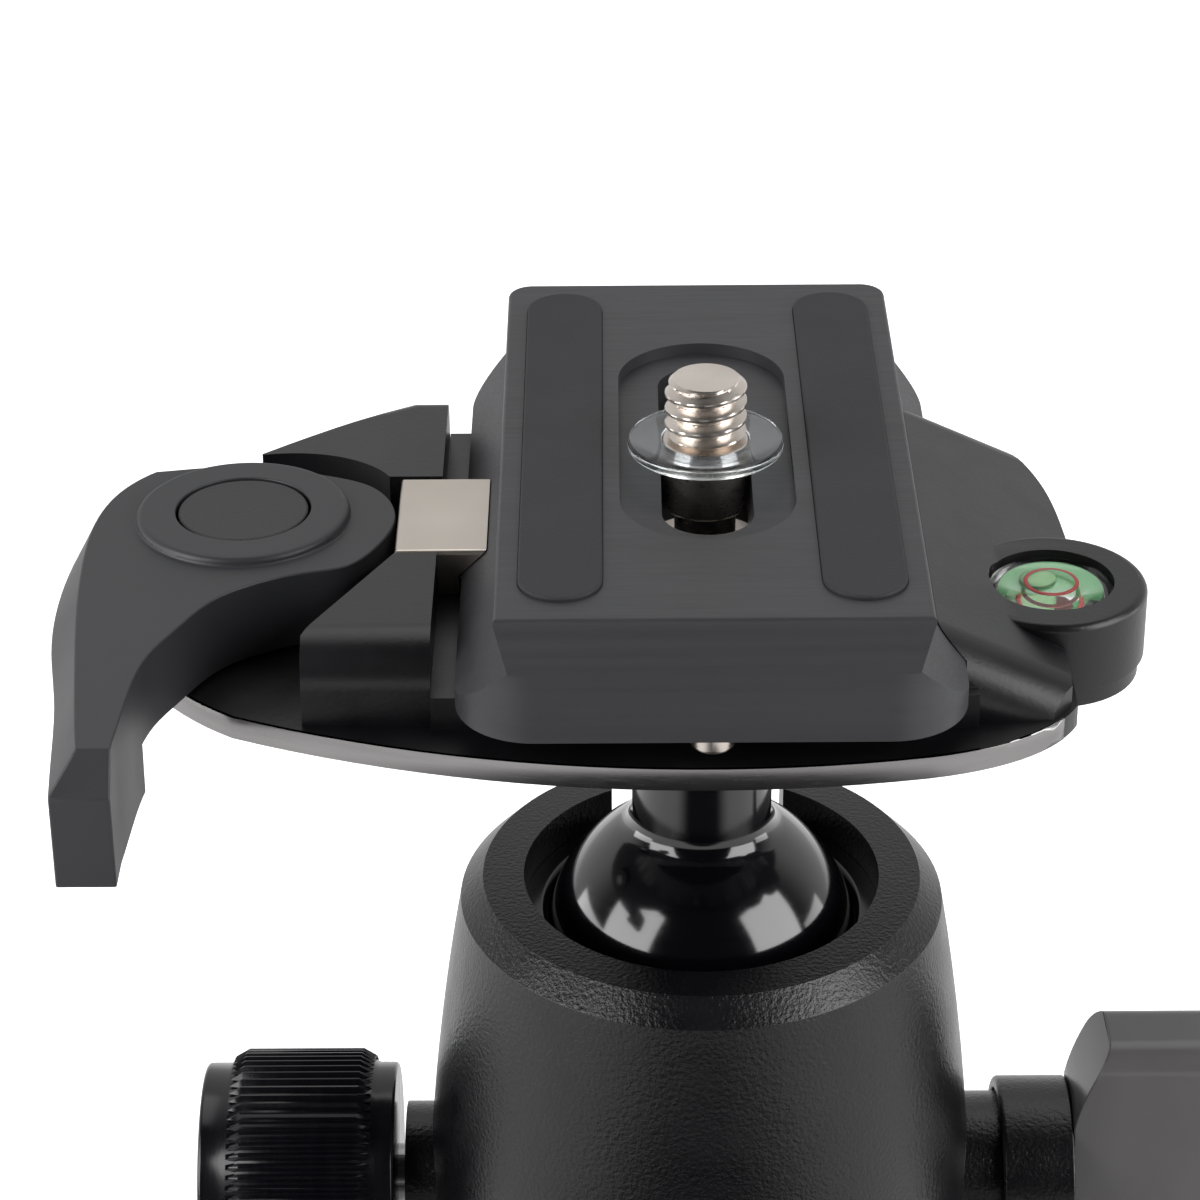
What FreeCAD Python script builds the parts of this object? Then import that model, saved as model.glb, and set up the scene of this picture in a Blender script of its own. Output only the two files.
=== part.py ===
import FreeCAD, Part
import math
import os

os.makedirs("parts", exist_ok=True)
Vec = FreeCAD.Vector

# Tripod ball head. Millimetres, +Z up, +X to the clamp's bubble level, -Y to the front.
# The origin is on the pan axis, on the face that rests on the tripod.

# Clearances
running_gap = 0.06
seat_gap = 0.08
face_gap = 0.05
slide_gap = 0.15
open_gap = 0.3
overcut = 1.0
edge_samples = 5
hexagon_sides = 6

# Pan base
base_radius = 25.0
base_height = 9.0
base_chamfer = 1.2
base_scale_band = 2.4
base_relief_radius = 14.0
base_relief_depth = 0.5
socket_radius = 4.0
socket_depth = 10.0
bush_radius = 6.5
bush_flange_radius = 8.5
bush_flange_height = 1.6
hub_radius = 9.0
bearing_inner_radius = 13.0
bearing_outer_radius = 20.0
bearing_height = 1.0
bearing_show = 0.4
keeper_radius = 12.5
keeper_height = 1.5
pan_bolt_radius = 2.5
pan_bolt_length = 9.5
pan_bolt_head_radius = 4.5
pan_bolt_head_height = 2.3
pan_bolt_hex = 2.0

# Barrel
rim_height = 61.2
rim_opening_radius = 14.8
rim_outer_radius = 18.2
rim_chamfer_width = 1.9
rim_chamfer_drop = 2.0
rim_lip_depth = 3.2
barrel_middle_radius = 22.9
barrel_middle_drop = 23.0
barrel_radius = 23.8
barrel_wide_drop = 40.0
barrel_foot_chamfer = 0.8
cavity_radius = 16.3
web_height = 10.5
notch_half_width = 7.4
knob_axis_drop = 31.2
ring_drop_below_centre = 1.0
ring_edge_chamfer = 0.7

# Ball and stem
ball_radius = 13.0
ball_drop = 6.6
stem_radius = 5.75
stem_fillet = 1.0
stem_spigot_radius = 4.2
stem_spigot_length = 5.0
pad_wall = 1.5
pad_half_angle = 45.0
cup_height_below_centre = 6.6
cup_play = 0.35

# Main lock, on the right
lock_boss_radius = 6.8
lock_boss_reach = 26.1
lock_plunger_radius = 4.6
lock_plunger_back = 20.2
lock_nose_place = 8.0
lock_screw_radius = 3.0
lock_screw_length = 26.5
lock_sleeve_radius = 8.1
lock_sleeve_length = 5.25
lock_sleeve_lip = 0.9
lock_travel_room = 0.6
wing_half_height = 15.0
wing_root_half_height = 7.4
wing_thickness = 8.4
wing_edge_round = 2.6
wing_sweep = 2.9
wing_sweep_share = 0.35
wing_length = 24.6
wing_end_round = 7.0

# Drag knob, on the left
drag_boss_radius = 6.2
drag_boss_reach = 25.4
drag_plunger_radius = 4.0
drag_plunger_back = 20.0
drag_nose_place = 9.0
drag_nose_play = 0.35
drag_screw_radius = 2.5
drag_knob_start = 26.2
drag_knob_end = 42.9
drag_knob_band_start = 29.3
drag_knob_band_end = 39.3
drag_knob_radius = 10.8
drag_knob_flange_radius = 9.6
drag_knob_slope = 1.5
drag_knob_teeth = 72
drag_tooth_depth = 0.45
drag_bore_depth = 11.0
end_dish_radius = 6.0
end_dish_depth = 0.8

# Pan lock, low on the front
pan_lock_height = 15.0
pan_lock_boss_radius = 4.6
pan_lock_boss_reach = 25.4
pan_shoe_radius = 3.4
pan_shoe_length = 5.0
pan_shoe_play = 0.4
pan_screw_radius = 2.0
pan_knob_start = 26.2
pan_knob_band_start = 27.4
pan_knob_band_end = 35.0
pan_knob_end = 36.6
pan_knob_radius = 7.0
pan_knob_flange_radius = 6.1
pan_knob_slope = 0.9
pan_knob_teeth = 44
pan_tooth_depth = 0.4
pan_bore_depth = 7.5

# Platform under the plate
floor_height = 88.2
platform_edge = 1.8
platform_half_length = 28.0
platform_edge_arc = 86.0
platform_left_shoulder = 36.0
platform_left_end = 46.5
platform_right_side = 27.8
platform_cone_radius = 25.5
platform_neck_radius = 13.0
platform_neck_drop = 7.8
platform_hub_radius = 12.0
platform_hub_drop = 9.5
block_wall_front = 21.4
block_wall_round = 3.8
jaw_rise = 6.7
post_right_side = 20.9
post_left_side = 30.6
post_cut_x = 24.2
post_cut_y = 19.0
post_back_tip_x = 36.0
post_back_shoulder_x = 27.0
post_back_shoulder_y = 19.6
post_back_tip_y = 13.4
post_slope_start = 26.0
post_slope_drop = 1.2
post_back_flat_x = 24.0
post_back_round = 2.1
lever_pocket_radius = 13.0
seat_pad_rise = 2.8
seat_pad_gap = 0.2
seat_pad_half_length = 22.2
right_side_x = 27.3
right_front_x = 25.5
right_front_y = 19.0
right_back_side_x = 29.8
right_back_side_y = 3.5
right_back_upper_x = 29.2
right_back_upper_y = 10.8
right_back_bend_x = 27.9
right_back_bend_y = 16.2
right_back_corner_x = 23.2
right_slope_rate = 0.46
right_round = 3.8
outline_arc_end = 16.0
outline_bend_x = 21.6
outline_bend_y = 24.7
outline_corner_x = 25.7
outline_corner_y = 21.9
lug_x = 26.9
lug_y = -6.5
lug_radius = 7.5
lug_rise = 4.0
lug_round = 0.7
lug_foot = 1.6
lug_foot_inset = 0.4
level_radius = 4.9
level_depth = 4.2

# Bubble level
vial_wall = 0.9
vial_foot = 0.8
vial_crown = 0.9
vial_rise = 0.2
vial_sphere_room = 2.0
fluid_height = 2.0

# Quick release plate
plate_length = 58.6
plate_shift = 0.15
plate_top_half_width = 16.0
plate_neck_half_width = 14.9
plate_base_half_width = 19.0
plate_lip_height = 1.6
plate_height = 10.3
plate_base_round = 6.0
plate_far_round = 2.0
plate_top_round = 0.4
plate_recess_radius = 6.7
plate_recess_length = 34.5
plate_recess_depth = 1.0
plate_slot_half_width = 3.5
plate_slot_length = 29.2
plate_head_half_width = 5.2
plate_head_length = 33.0
plate_head_depth = 2.8
grip_width = 6.2
grip_length = 53.4
grip_place = 11.1
grip_sink = 0.5
grip_rise = 0.35
stop_pin_radius = 1.65
stop_pin_hang = 1.7
stop_pin_thread_radius = 1.0
stop_pin_thread_length = 4.0
stop_pin_inset = 2.5
stop_pin_round = 0.4

# Camera screw
thread_radius = 3.175
thread_length = 5.1
thread_tip_chamfer = 0.6
shank_radius = 3.4
shank_length = 5.7
screw_neck_radius = 2.4
screw_rest_y = -2.8
screw_head_radius = 4.9
screw_head_height = 1.6
screw_head_slot = 1.2
screw_head_slot_depth = 0.7
washer_radius = 6.05
washer_height = 0.8
washer_above_plate = 0.6

# Clamp lever
pivot_x = -36.4
lever_floor_gap = 0.25
lever_height = 6.35
lever_boss_radius = 8.45
lever_boss_rise = 0.7
lever_boss_round = 0.56
lever_bevel_drop = 2.8
lever_cap_radius = 5.13
lever_cap_groove = 0.22
lever_cap_height = 1.1
lever_cap_drop = 0.1
cam_radius = 12.0
paddle_hang = 4.05
paddle_back_y = -24.5
paddle_slope_start_y = -35.4
paddle_slope_drop = 3.0
pivot_radius = 3.0
pivot_head_radius = 4.5
pivot_head_height = 1.0
pivot_thread_radius = 2.5
pivot_boss_radius = 6.0
pivot_boss_height = 3.4

# The lever's plan from its pivot, in cam radii: the inner edge runs from the back to the tip, the
# others from the tip to the back.
lever_inner_edge = [(-0.383, 0.708), (0.0, 0.717), (0.55, 0.575), (0.8, 0.442), (1.0, 0.0),
                    (0.9, -0.433), (0.708, -0.7), (0.458, -0.783), (0.192, -0.9), (-0.058, -1.092),
                    (-0.3, -1.517), (-0.425, -1.8), (-0.508, -2.267), (-0.542, -2.858)]
lever_outer_edge = [(-0.908, -3.125), (-0.942, -2.75), (-1.017, -1.983), (-1.117, -1.333),
                    (-1.142, -0.6), (-1.1, -0.133), (-1.0, 0.283), (-0.683, 0.658)]
lever_upper_edge = [(-0.72, -3.125), (-0.775, -2.75), (-0.87, -1.983), (-0.94, -1.333),
                    (-0.985, -0.6), (-0.975, -0.133), (-0.9, 0.25), (-0.65, 0.658)]
lever_tip = (-0.542, -3.125)

# Clamp block
clamp_half_width = 6.25
clamp_tongue = 1.6
clamp_tongue_height = 1.8
clamp_face_gap = 0.1
clamp_cam_gap = 0.2
clamp_travel = 2.5
clamp_edge_round = 0.35
spring_radius = 1.0
spring_bore_radius = 0.5
spring_place = 3.4
spring_pocket_depth = 1.4
spring_length = 3.3
spring_rise = 1.5

# Platform screw
platform_screw_radius = 2.5
platform_screw_length = 12.0
platform_screw_head_radius = 4.8
platform_screw_head_height = 2.6
platform_screw_hex = 1.7
platform_screw_hex_depth = 1.6

# Heights and places that follow
ball_height = rim_height - ball_drop
knob_axis_height = rim_height - knob_axis_drop
barrel_foot = base_height + bearing_show
web_top = barrel_foot + web_height
hub_top = web_top + 2 * face_gap
shoulder_height = rim_height - rim_lip_depth
rim_chamfer_radius = rim_outer_radius + rim_chamfer_width
seat_radius = ball_radius + seat_gap
pad_outer_radius = seat_radius + pad_wall
cup_top = ball_height - cup_height_below_centre
platform_neck_height = floor_height - platform_neck_drop
platform_hub_height = floor_height - platform_hub_drop
jaw_height = floor_height + jaw_rise
lug_height = floor_height + lug_rise
seat_pad_height = floor_height + seat_pad_rise
plate_bottom = seat_pad_height + seat_pad_gap
plate_top = plate_bottom + plate_height
plate_lip_top = plate_bottom + plate_lip_height
plate_neck = plate_lip_top + plate_base_half_width - plate_neck_half_width
clamp_bevel_sum = plate_base_half_width + plate_lip_top + clamp_face_gap * math.sqrt(2)
lever_bottom = floor_height + lever_floor_gap
lever_top = lever_bottom + lever_height
lever_boss_top = lever_top + lever_boss_rise
lever_bevel_foot = lever_top - lever_bevel_drop
paddle_foot = lever_bottom - paddle_hang
washer_bottom = plate_top + washer_above_plate
shank_top = washer_bottom + washer_height
recess_floor = plate_top - plate_recess_depth
clamp_left = pivot_x + cam_radius + clamp_cam_gap
clamp_right = -plate_base_half_width - slide_gap - clamp_face_gap
lock_screw_start = lock_plunger_back - lock_travel_room + face_gap
lock_screw_end = lock_screw_start + lock_screw_length
lock_sleeve_start = lock_boss_reach + lock_travel_room
lock_sleeve_end = lock_sleeve_start + lock_sleeve_length
wing_start = lock_sleeve_end + face_gap
wing_corner = wing_start + wing_sweep
wing_end = wing_start + wing_length
stem_top = platform_hub_height - face_gap


def save(name, shape):
    if not shape.isValid():
        print("not valid:", name)
    shape.exportStep("parts/%s.step" % name)
    print("%-24s solids %d  volume %9.2f" % (name, len(shape.Solids), shape.Volume))


def disc(radius, bottom, top, x=0.0, y=0.0):
    """A round bar that stands along Z."""
    return Part.makeCylinder(radius, top - bottom, Vec(x, y, bottom))


def bar_x(radius, start, end, height):
    """A round bar along X, at y = 0."""
    low, high = min(start, end), max(start, end)
    return Part.makeCylinder(radius, high - low, Vec(low, 0, height), Vec(1, 0, 0))


def bar_y(radius, start, end, height, x=0.0):
    """A round bar along Y."""
    low, high = min(start, end), max(start, end)
    return Part.makeCylinder(radius, high - low, Vec(x, low, height), Vec(0, 1, 0))


def block(x, y, z):
    """A box between the pairs x, y and z."""
    return Part.makeBox(x[1] - x[0], y[1] - y[0], z[1] - z[0], Vec(x[0], y[0], z[0]))


def turned(points):
    """A solid turned about Z from a closed outline of (radius, height)."""
    corners = [Vec(r, 0, z) for r, z in points]
    face = Part.Face(Part.makePolygon(corners + corners[:1]))
    return face.revolve(Vec(0, 0, 0), Vec(0, 0, 1), 360)


def upright(points, bottom, top):
    """A prism along Z from a closed plan outline of (x, y)."""
    corners = [Vec(x, y, bottom) for x, y in points]
    face = Part.Face(Part.makePolygon(corners + corners[:1]))
    return face.extrude(Vec(0, 0, top - bottom))


def along_y(points, start, end):
    """A prism along Y from a closed outline of (x, z)."""
    corners = [Vec(x, start, z) for x, z in points]
    face = Part.Face(Part.makePolygon(corners + corners[:1]))
    return face.extrude(Vec(0, end - start, 0))


def stadium(half_width, length, bottom, top, x=0.0, y=0.0):
    """A slot shape with round ends, long along Y and centred on (x, y)."""
    reach = length / 2 - half_width
    middle = block((x - half_width, x + half_width), (y - reach, y + reach), (bottom, top))
    near = disc(half_width, bottom, top, x, y - reach)
    far = disc(half_width, bottom, top, x, y + reach)
    return middle.fuse([near, far]).removeSplitter()


def rounded_slab(half_width, length, radius, bottom, top, y=0.0):
    """A slab with four round plan corners, centred on (0, y)."""
    reach = length / 2
    across = block((-half_width, half_width), (y - reach + radius, y + reach - radius), (bottom, top))
    along = block((radius - half_width, half_width - radius), (y - reach, y + reach), (bottom, top))
    corners = []
    for side in (-1, 1):
        for end in (-1, 1):
            x = side * (half_width - radius)
            corners.append(disc(radius, bottom, top, x, y + end * (reach - radius)))
    return across.fuse([along] + corners).removeSplitter()


def edges_where(shape, test):
    """The edges whose every sampled point passes the test."""
    found = []
    for edge in shape.Edges:
        span = (edge.LastParameter - edge.FirstParameter) / (edge_samples - 1)
        points = [edge.valueAt(edge.FirstParameter + k * span) for k in range(edge_samples)]
        if all(test(p) for p in points):
            found.append(edge)
    return found


def rounded(shape, radius, test):
    """The shape with the edges that pass the test rounded."""
    edges = edges_where(shape, test)
    if not edges:
        raise ValueError("no edge to round")
    return shape.makeFillet(radius, edges)


def knurled(band_start, band_end, start, end, radius, flange, slope, teeth, depth):
    """A grip turned about Z, with V grooves along its raised band."""
    outline = turned([(0, start), (flange, start), (flange, band_start - slope), (radius, band_start),
                      (radius, band_end), (flange, band_end + slope), (flange, end), (0, end)])
    step = math.pi / teeth
    star = []
    for k in range(2 * teeth):
        r = radius - depth * (k % 2)
        star.append((r * math.cos(k * step), r * math.sin(k * step)))
    band = upright(star, band_start - slope, band_end + slope)
    core = disc(flange - depth, start, end)
    skirts = disc(flange, start, band_start - slope).fuse(disc(flange, band_end + slope, end))
    return outline.common(band.fuse([core, skirts])).removeSplitter()


def turn_to_x(shape, sign, height):
    """A shape made about Z, laid along +X or -X at the given height."""
    shape.rotate(Vec(0, 0, 0), Vec(0, 1, 0), 90 * sign)
    shape.translate(Vec(0, 0, height))
    return shape


def turn_to_front(shape, height):
    """A shape made about Z, laid along -Y at the given height."""
    shape.rotate(Vec(0, 0, 0), Vec(1, 0, 0), 90)
    shape.translate(Vec(0, 0, height))
    return shape


def hexagon(radius, bottom, top, x=0.0, y=0.0):
    """A hexagon socket, by the circle through its corners."""
    turns = [2 * math.pi * k / hexagon_sides for k in range(hexagon_sides)]
    points = [(x + radius * math.cos(turn), y + radius * math.sin(turn)) for turn in turns]
    return upright(points, bottom, top)


# Pan base and what is fixed to the tripod

def pan_base():
    body = turned([(0, 0), (base_radius - base_chamfer / 2, 0), (base_radius, base_chamfer / 2),
                   (base_radius, base_height - base_scale_band),
                   (base_radius - base_chamfer, base_height), (0, base_height)])
    relief = disc(base_relief_radius, -overcut, base_relief_depth)
    relief = relief.cut(disc(bush_flange_radius + running_gap, -overcut, base_relief_depth))
    hub = disc(hub_radius, 0, hub_top)
    seat = disc(bearing_outer_radius + open_gap, base_height - bearing_height + bearing_show - face_gap,
                base_height + overcut)
    seat = seat.cut(disc(bearing_inner_radius - open_gap, 0, hub_top))
    body = body.fuse(hub).cut(seat).cut(relief)
    bush_hole = disc(bush_radius + running_gap, -overcut, socket_depth + open_gap)
    flange_hole = disc(bush_flange_radius + running_gap, -overcut, bush_flange_height + face_gap)
    bolt_hole = disc(pan_bolt_radius + running_gap, hub_top - pan_bolt_length - open_gap, hub_top + overcut)
    return body.cut(bush_hole).cut(flange_hole).cut(bolt_hole).removeSplitter()


def tripod_bush():
    body = disc(bush_radius, 0, socket_depth).fuse(disc(bush_flange_radius, 0, bush_flange_height))
    return body.cut(disc(socket_radius, -overcut, socket_depth + overcut)).removeSplitter()


def bearing_washer():
    bottom = base_height - bearing_height + bearing_show
    ring = disc(bearing_outer_radius, bottom, barrel_foot - face_gap)
    return ring.cut(disc(bearing_inner_radius, bottom - overcut, barrel_foot))


def keeper_plate():
    bottom = hub_top + face_gap
    ring = disc(keeper_radius, bottom, bottom + keeper_height)
    return ring.cut(disc(pan_bolt_radius + running_gap, bottom - overcut, bottom + 2 * keeper_height))


def pan_bolt():
    bottom = hub_top + keeper_height + 2 * face_gap
    head = disc(pan_bolt_head_radius, bottom, bottom + pan_bolt_head_height)
    head = head.cut(hexagon(pan_bolt_hex, bottom + pan_bolt_head_height / 3,
                            bottom + 2 * pan_bolt_head_height))
    return head.fuse(disc(pan_bolt_radius, hub_top - pan_bolt_length, bottom)).removeSplitter()


# Barrel

def barrel_outside():
    foot, top = barrel_foot, rim_height
    low = Vec(barrel_radius, 0, rim_height - barrel_wide_drop)
    middle = Vec(barrel_middle_radius, 0, rim_height - barrel_middle_drop)
    high = Vec(rim_chamfer_radius, 0, rim_height - rim_chamfer_drop)
    edges = [Part.makeLine(Vec(0, 0, foot), Vec(barrel_radius - barrel_foot_chamfer, 0, foot)),
             Part.makeLine(Vec(barrel_radius - barrel_foot_chamfer, 0, foot),
                           Vec(barrel_radius, 0, foot + barrel_foot_chamfer)),
             Part.makeLine(Vec(barrel_radius, 0, foot + barrel_foot_chamfer), low),
             Part.Arc(low, middle, high).toShape(),
             Part.makeLine(high, Vec(rim_outer_radius, 0, top)),
             Part.makeLine(Vec(rim_outer_radius, 0, top), Vec(0, 0, top)),
             Part.makeLine(Vec(0, 0, top), Vec(0, 0, foot))]
    return Part.Face(Part.Wire(edges)).revolve(Vec(0, 0, 0), Vec(0, 0, 1), 360)


def notch():
    """The slot at the back that the stem drops into for a quarter turn."""
    reach = barrel_radius + overcut
    slot = block((-notch_half_width, notch_half_width), (0, reach), (ball_height, rim_height + overcut))
    return slot.fuse(bar_y(notch_half_width, 0, reach, ball_height))


def barrel():
    body = barrel_outside()
    bosses = [bar_x(lock_boss_radius, 0, lock_boss_reach, knob_axis_height),
              bar_x(drag_boss_radius, -drag_boss_reach, 0, knob_axis_height),
              bar_y(pan_lock_boss_radius, -pan_lock_boss_reach, 0, pan_lock_height)]
    body = body.fuse(bosses)
    cavity = disc(cavity_radius, web_top, shoulder_height)
    mouth = disc(rim_opening_radius, web_top, rim_height + overcut)
    hub_bore = disc(hub_radius + running_gap, barrel_foot - overcut, web_top + overcut)
    lock_guide = bar_x(lock_plunger_radius + running_gap, 0, lock_plunger_back, knob_axis_height)
    lock_bore = bar_x(lock_screw_radius + running_gap, 0, lock_boss_reach + overcut, knob_axis_height)
    drag_guide = bar_x(drag_plunger_radius + running_gap, -drag_plunger_back, 0, knob_axis_height)
    drag_bore = bar_x(drag_screw_radius + running_gap, -drag_boss_reach - overcut, 0, knob_axis_height)
    shoe_back = hub_radius + pan_shoe_play + pan_shoe_length
    shoe_guide = bar_y(pan_shoe_radius + running_gap, -shoe_back - pan_shoe_play, 0, pan_lock_height)
    pan_bore = bar_y(pan_screw_radius + running_gap, -pan_lock_boss_reach - overcut, 0, pan_lock_height)
    holes = [cavity, mouth, hub_bore, lock_guide, lock_bore, drag_guide, drag_bore, shoe_guide, pan_bore,
             notch()]
    for hole in holes:
        body = body.cut(hole)
    return body.removeSplitter()


def retaining_ring():
    bottom = ball_height - ring_drop_below_centre
    body = disc(cavity_radius - face_gap / 2, bottom, shoulder_height - face_gap / 2)
    ball_room = Part.makeSphere(seat_radius, Vec(0, 0, ball_height))
    lower_room = disc(seat_radius, bottom - overcut, ball_height)
    top_radius = math.sqrt(seat_radius ** 2 - (shoulder_height - ball_height) ** 2) + ring_edge_chamfer
    edge = Part.makeCone(top_radius - 2 * ring_edge_chamfer, top_radius + overcut,
                         2 * ring_edge_chamfer + overcut, Vec(0, 0, shoulder_height - 2 * ring_edge_chamfer))
    return body.cut(ball_room).cut(lower_room).cut(edge).cut(notch())


# Ball, its friction pad and the pressure cup

def ball_stem():
    ball = Part.makeSphere(ball_radius, Vec(0, 0, ball_height))
    stem = disc(stem_radius, ball_height, stem_top)
    body = ball.fuse(stem)
    joint_height = ball_height + math.sqrt(ball_radius ** 2 - stem_radius ** 2)
    body = rounded(body, stem_fillet, lambda p: abs(p.z - joint_height) < face_gap)
    body = body.fuse(disc(stem_spigot_radius, stem_top - overcut, stem_top + stem_spigot_length))
    depth = platform_screw_length + open_gap
    screw_top = floor_height - platform_screw_head_height
    return body.cut(disc(platform_screw_radius + running_gap, screw_top - depth, screw_top + overcut))


def friction_pad():
    outer = Part.makeSphere(pad_outer_radius, Vec(0, 0, ball_height))
    inner = Part.makeSphere(seat_radius, Vec(0, 0, ball_height))
    level = ball_height - seat_radius * math.cos(math.radians(pad_half_angle))
    above = disc(pad_outer_radius + overcut, level, ball_height + pad_outer_radius + overcut)
    return outer.cut(inner).cut(above)


def nose_room(sign, place, play, reach):
    """What lies below the slanted face of the cup on one side, or of a plunger's nose."""
    low = knob_axis_height - reach
    high = knob_axis_height + reach
    lean = play * math.sqrt(2)
    points = [(place - reach - lean, low), (place + reach - lean, high), (place + 3 * reach, high),
              (place + 3 * reach, low)]
    return along_y([(sign * x, z) for x, z in points], -2 * reach, 2 * reach)


def pressure_cup():
    bottom = knob_axis_height - lock_plunger_radius + open_gap
    body = disc(cavity_radius - running_gap, bottom, cup_top)
    body = body.cut(Part.makeSphere(pad_outer_radius + cup_play, Vec(0, 0, ball_height)))
    body = body.cut(nose_room(1, lock_nose_place, face_gap, cavity_radius))
    return body.cut(nose_room(-1, drag_nose_place, drag_nose_play, cavity_radius))


# Main lock

def lock_plunger():
    body = bar_x(lock_plunger_radius, 0, lock_plunger_back - lock_travel_room, knob_axis_height)
    return body.common(nose_room(1, lock_nose_place, 0, cavity_radius))


def lock_screw():
    return bar_x(lock_screw_radius, lock_screw_start, lock_screw_end, knob_axis_height)


def lock_sleeve():
    start = lock_sleeve_start
    body = bar_x(lock_sleeve_radius, start - lock_sleeve_lip, lock_sleeve_end, knob_axis_height)
    body = rounded(body, lock_sleeve_lip / 2, lambda p: p.x < start)
    body = body.cut(bar_x(lock_boss_radius + open_gap, start - 2 * lock_sleeve_lip, start, knob_axis_height))
    return body.cut(bar_x(lock_screw_radius + face_gap / 2, 0, wing_end, knob_axis_height))


def lock_wing():
    """The wing grip: its left edge sweeps out from the sleeve to full height."""
    top, root = wing_half_height, wing_root_half_height
    sweep = Vec(wing_start + wing_sweep * wing_sweep_share, 0, (top + root) / 2)
    upper = Part.Arc(Vec(wing_start, 0, root), sweep, Vec(wing_corner, 0, top)).toShape()
    lower = Part.Arc(Vec(wing_corner, 0, -top), Vec(sweep.x, 0, -sweep.z),
                     Vec(wing_start, 0, -root)).toShape()
    lean = wing_end_round * (1 - math.sqrt(0.5))
    knee = wing_end - wing_end_round
    edges = [upper, Part.makeLine(Vec(wing_corner, 0, top), Vec(knee, 0, top)),
             Part.Arc(Vec(knee, 0, top), Vec(wing_end - lean, 0, top - lean),
                      Vec(wing_end, 0, top - wing_end_round)).toShape(),
             Part.makeLine(Vec(wing_end, 0, top - wing_end_round), Vec(wing_end, 0, wing_end_round - top)),
             Part.Arc(Vec(wing_end, 0, wing_end_round - top), Vec(wing_end - lean, 0, lean - top),
                      Vec(knee, 0, -top)).toShape(),
             Part.makeLine(Vec(knee, 0, -top), Vec(wing_corner, 0, -top)), lower,
             Part.makeLine(Vec(wing_start, 0, -root), Vec(wing_start, 0, root))]
    body = Part.Face(Part.Wire(edges)).extrude(Vec(0, wing_thickness, 0))
    body.translate(Vec(0, -wing_thickness / 2, knob_axis_height))
    half = wing_thickness / 2
    body = rounded(body, wing_edge_round,
                   lambda p: abs(abs(p.y) - half) < face_gap and p.x > wing_start + face_gap)
    bore = bar_x(lock_screw_radius + face_gap / 2, 0, lock_screw_end + open_gap, knob_axis_height)
    return body.cut(bore)


# Drag knob

def drag_plunger():
    body = bar_x(drag_plunger_radius, -drag_plunger_back + lock_travel_room, 0, knob_axis_height)
    return body.common(nose_room(-1, drag_nose_place, 0, cavity_radius))


def drag_screw():
    start = -drag_plunger_back + lock_travel_room - face_gap
    return bar_x(drag_screw_radius, start, -drag_knob_start - drag_bore_depth, knob_axis_height)


def drag_knob():
    body = knurled(drag_knob_band_start, drag_knob_band_end, drag_knob_start, drag_knob_end,
                   drag_knob_radius, drag_knob_flange_radius, drag_knob_slope, drag_knob_teeth,
                   drag_tooth_depth)
    bore = disc(drag_screw_radius + face_gap / 2, drag_knob_start - overcut,
                drag_knob_start + drag_bore_depth + open_gap)
    dish = disc(end_dish_radius, drag_knob_end - end_dish_depth, drag_knob_end + overcut)
    return turn_to_x(body.cut(bore).cut(dish), -1, knob_axis_height)


def drag_knob_cap():
    body = disc(end_dish_radius - slide_gap, drag_knob_end - end_dish_depth + face_gap, drag_knob_end)
    return turn_to_x(body, -1, knob_axis_height)


# Pan lock

def pan_shoe():
    start = hub_radius
    body = bar_y(pan_shoe_radius, -start - pan_shoe_play - pan_shoe_length, -start + pan_shoe_radius / 2,
                 pan_lock_height)
    return body.cut(disc(hub_radius + pan_shoe_play, 0, web_top))


def pan_screw():
    start = -hub_radius - pan_shoe_play - pan_shoe_length - face_gap
    return bar_y(pan_screw_radius, start, -pan_knob_start - pan_bore_depth, pan_lock_height)


def pan_knob():
    body = knurled(pan_knob_band_start, pan_knob_band_end, pan_knob_start, pan_knob_end,
                   pan_knob_radius, pan_knob_flange_radius, pan_knob_slope, pan_knob_teeth, pan_tooth_depth)
    bore = disc(pan_screw_radius + face_gap / 2, pan_knob_start - overcut,
                pan_knob_start + pan_bore_depth + open_gap)
    return turn_to_front(body.cut(bore), pan_lock_height)


# Platform

def edge_y(x):
    """How far the platform's edge stands from the middle line at x."""
    return platform_half_length - platform_edge_arc + math.sqrt(platform_edge_arc ** 2 - x ** 2)


def arc(start, middle, end):
    """An arc through three plan points (x, y)."""
    return Part.Arc(Vec(*start), Vec(*middle), Vec(*end)).toShape()


def line(start, end):
    return Part.makeLine(Vec(*start), Vec(*end))


def curve(points):
    """A smooth curve through plan points (x, y)."""
    spline = Part.BSplineCurve()
    spline.interpolate([Vec(*point) for point in points])
    return spline.toShape()


def right_back_curve():
    """The smooth back corner on the right, from the side to the back wall."""
    return [(right_back_side_x, right_back_side_y), (right_back_upper_x, right_back_upper_y),
            (right_back_bend_x, right_back_bend_y), (right_back_corner_x, block_wall_front)]


def platform_outline():
    """The platform's plan: two long arcs, a round left end and a right side with soft corners."""
    left, right = -platform_left_shoulder, platform_right_side
    left_y, end_y = edge_y(left), edge_y(outline_arc_end)
    near_end, far_end = (outline_arc_end, -end_y), (outline_arc_end, end_y)
    soft = [near_end, (outline_bend_x, -outline_bend_y), (outline_corner_x, -outline_corner_y),
            (right, -right_front_y)]
    back = right_back_curve()
    edges = [arc((left, -left_y), (0, -platform_half_length), near_end),
             curve(soft), line(soft[-1], (right, lug_y)), line((right, lug_y), back[0]),
             curve(back), line(back[-1], far_end),
             arc(far_end, (0, platform_half_length), (left, left_y)),
             arc((left, left_y), (-platform_left_end, 0), (left, -left_y))]
    return Part.Face(Part.Wire(edges))


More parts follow.
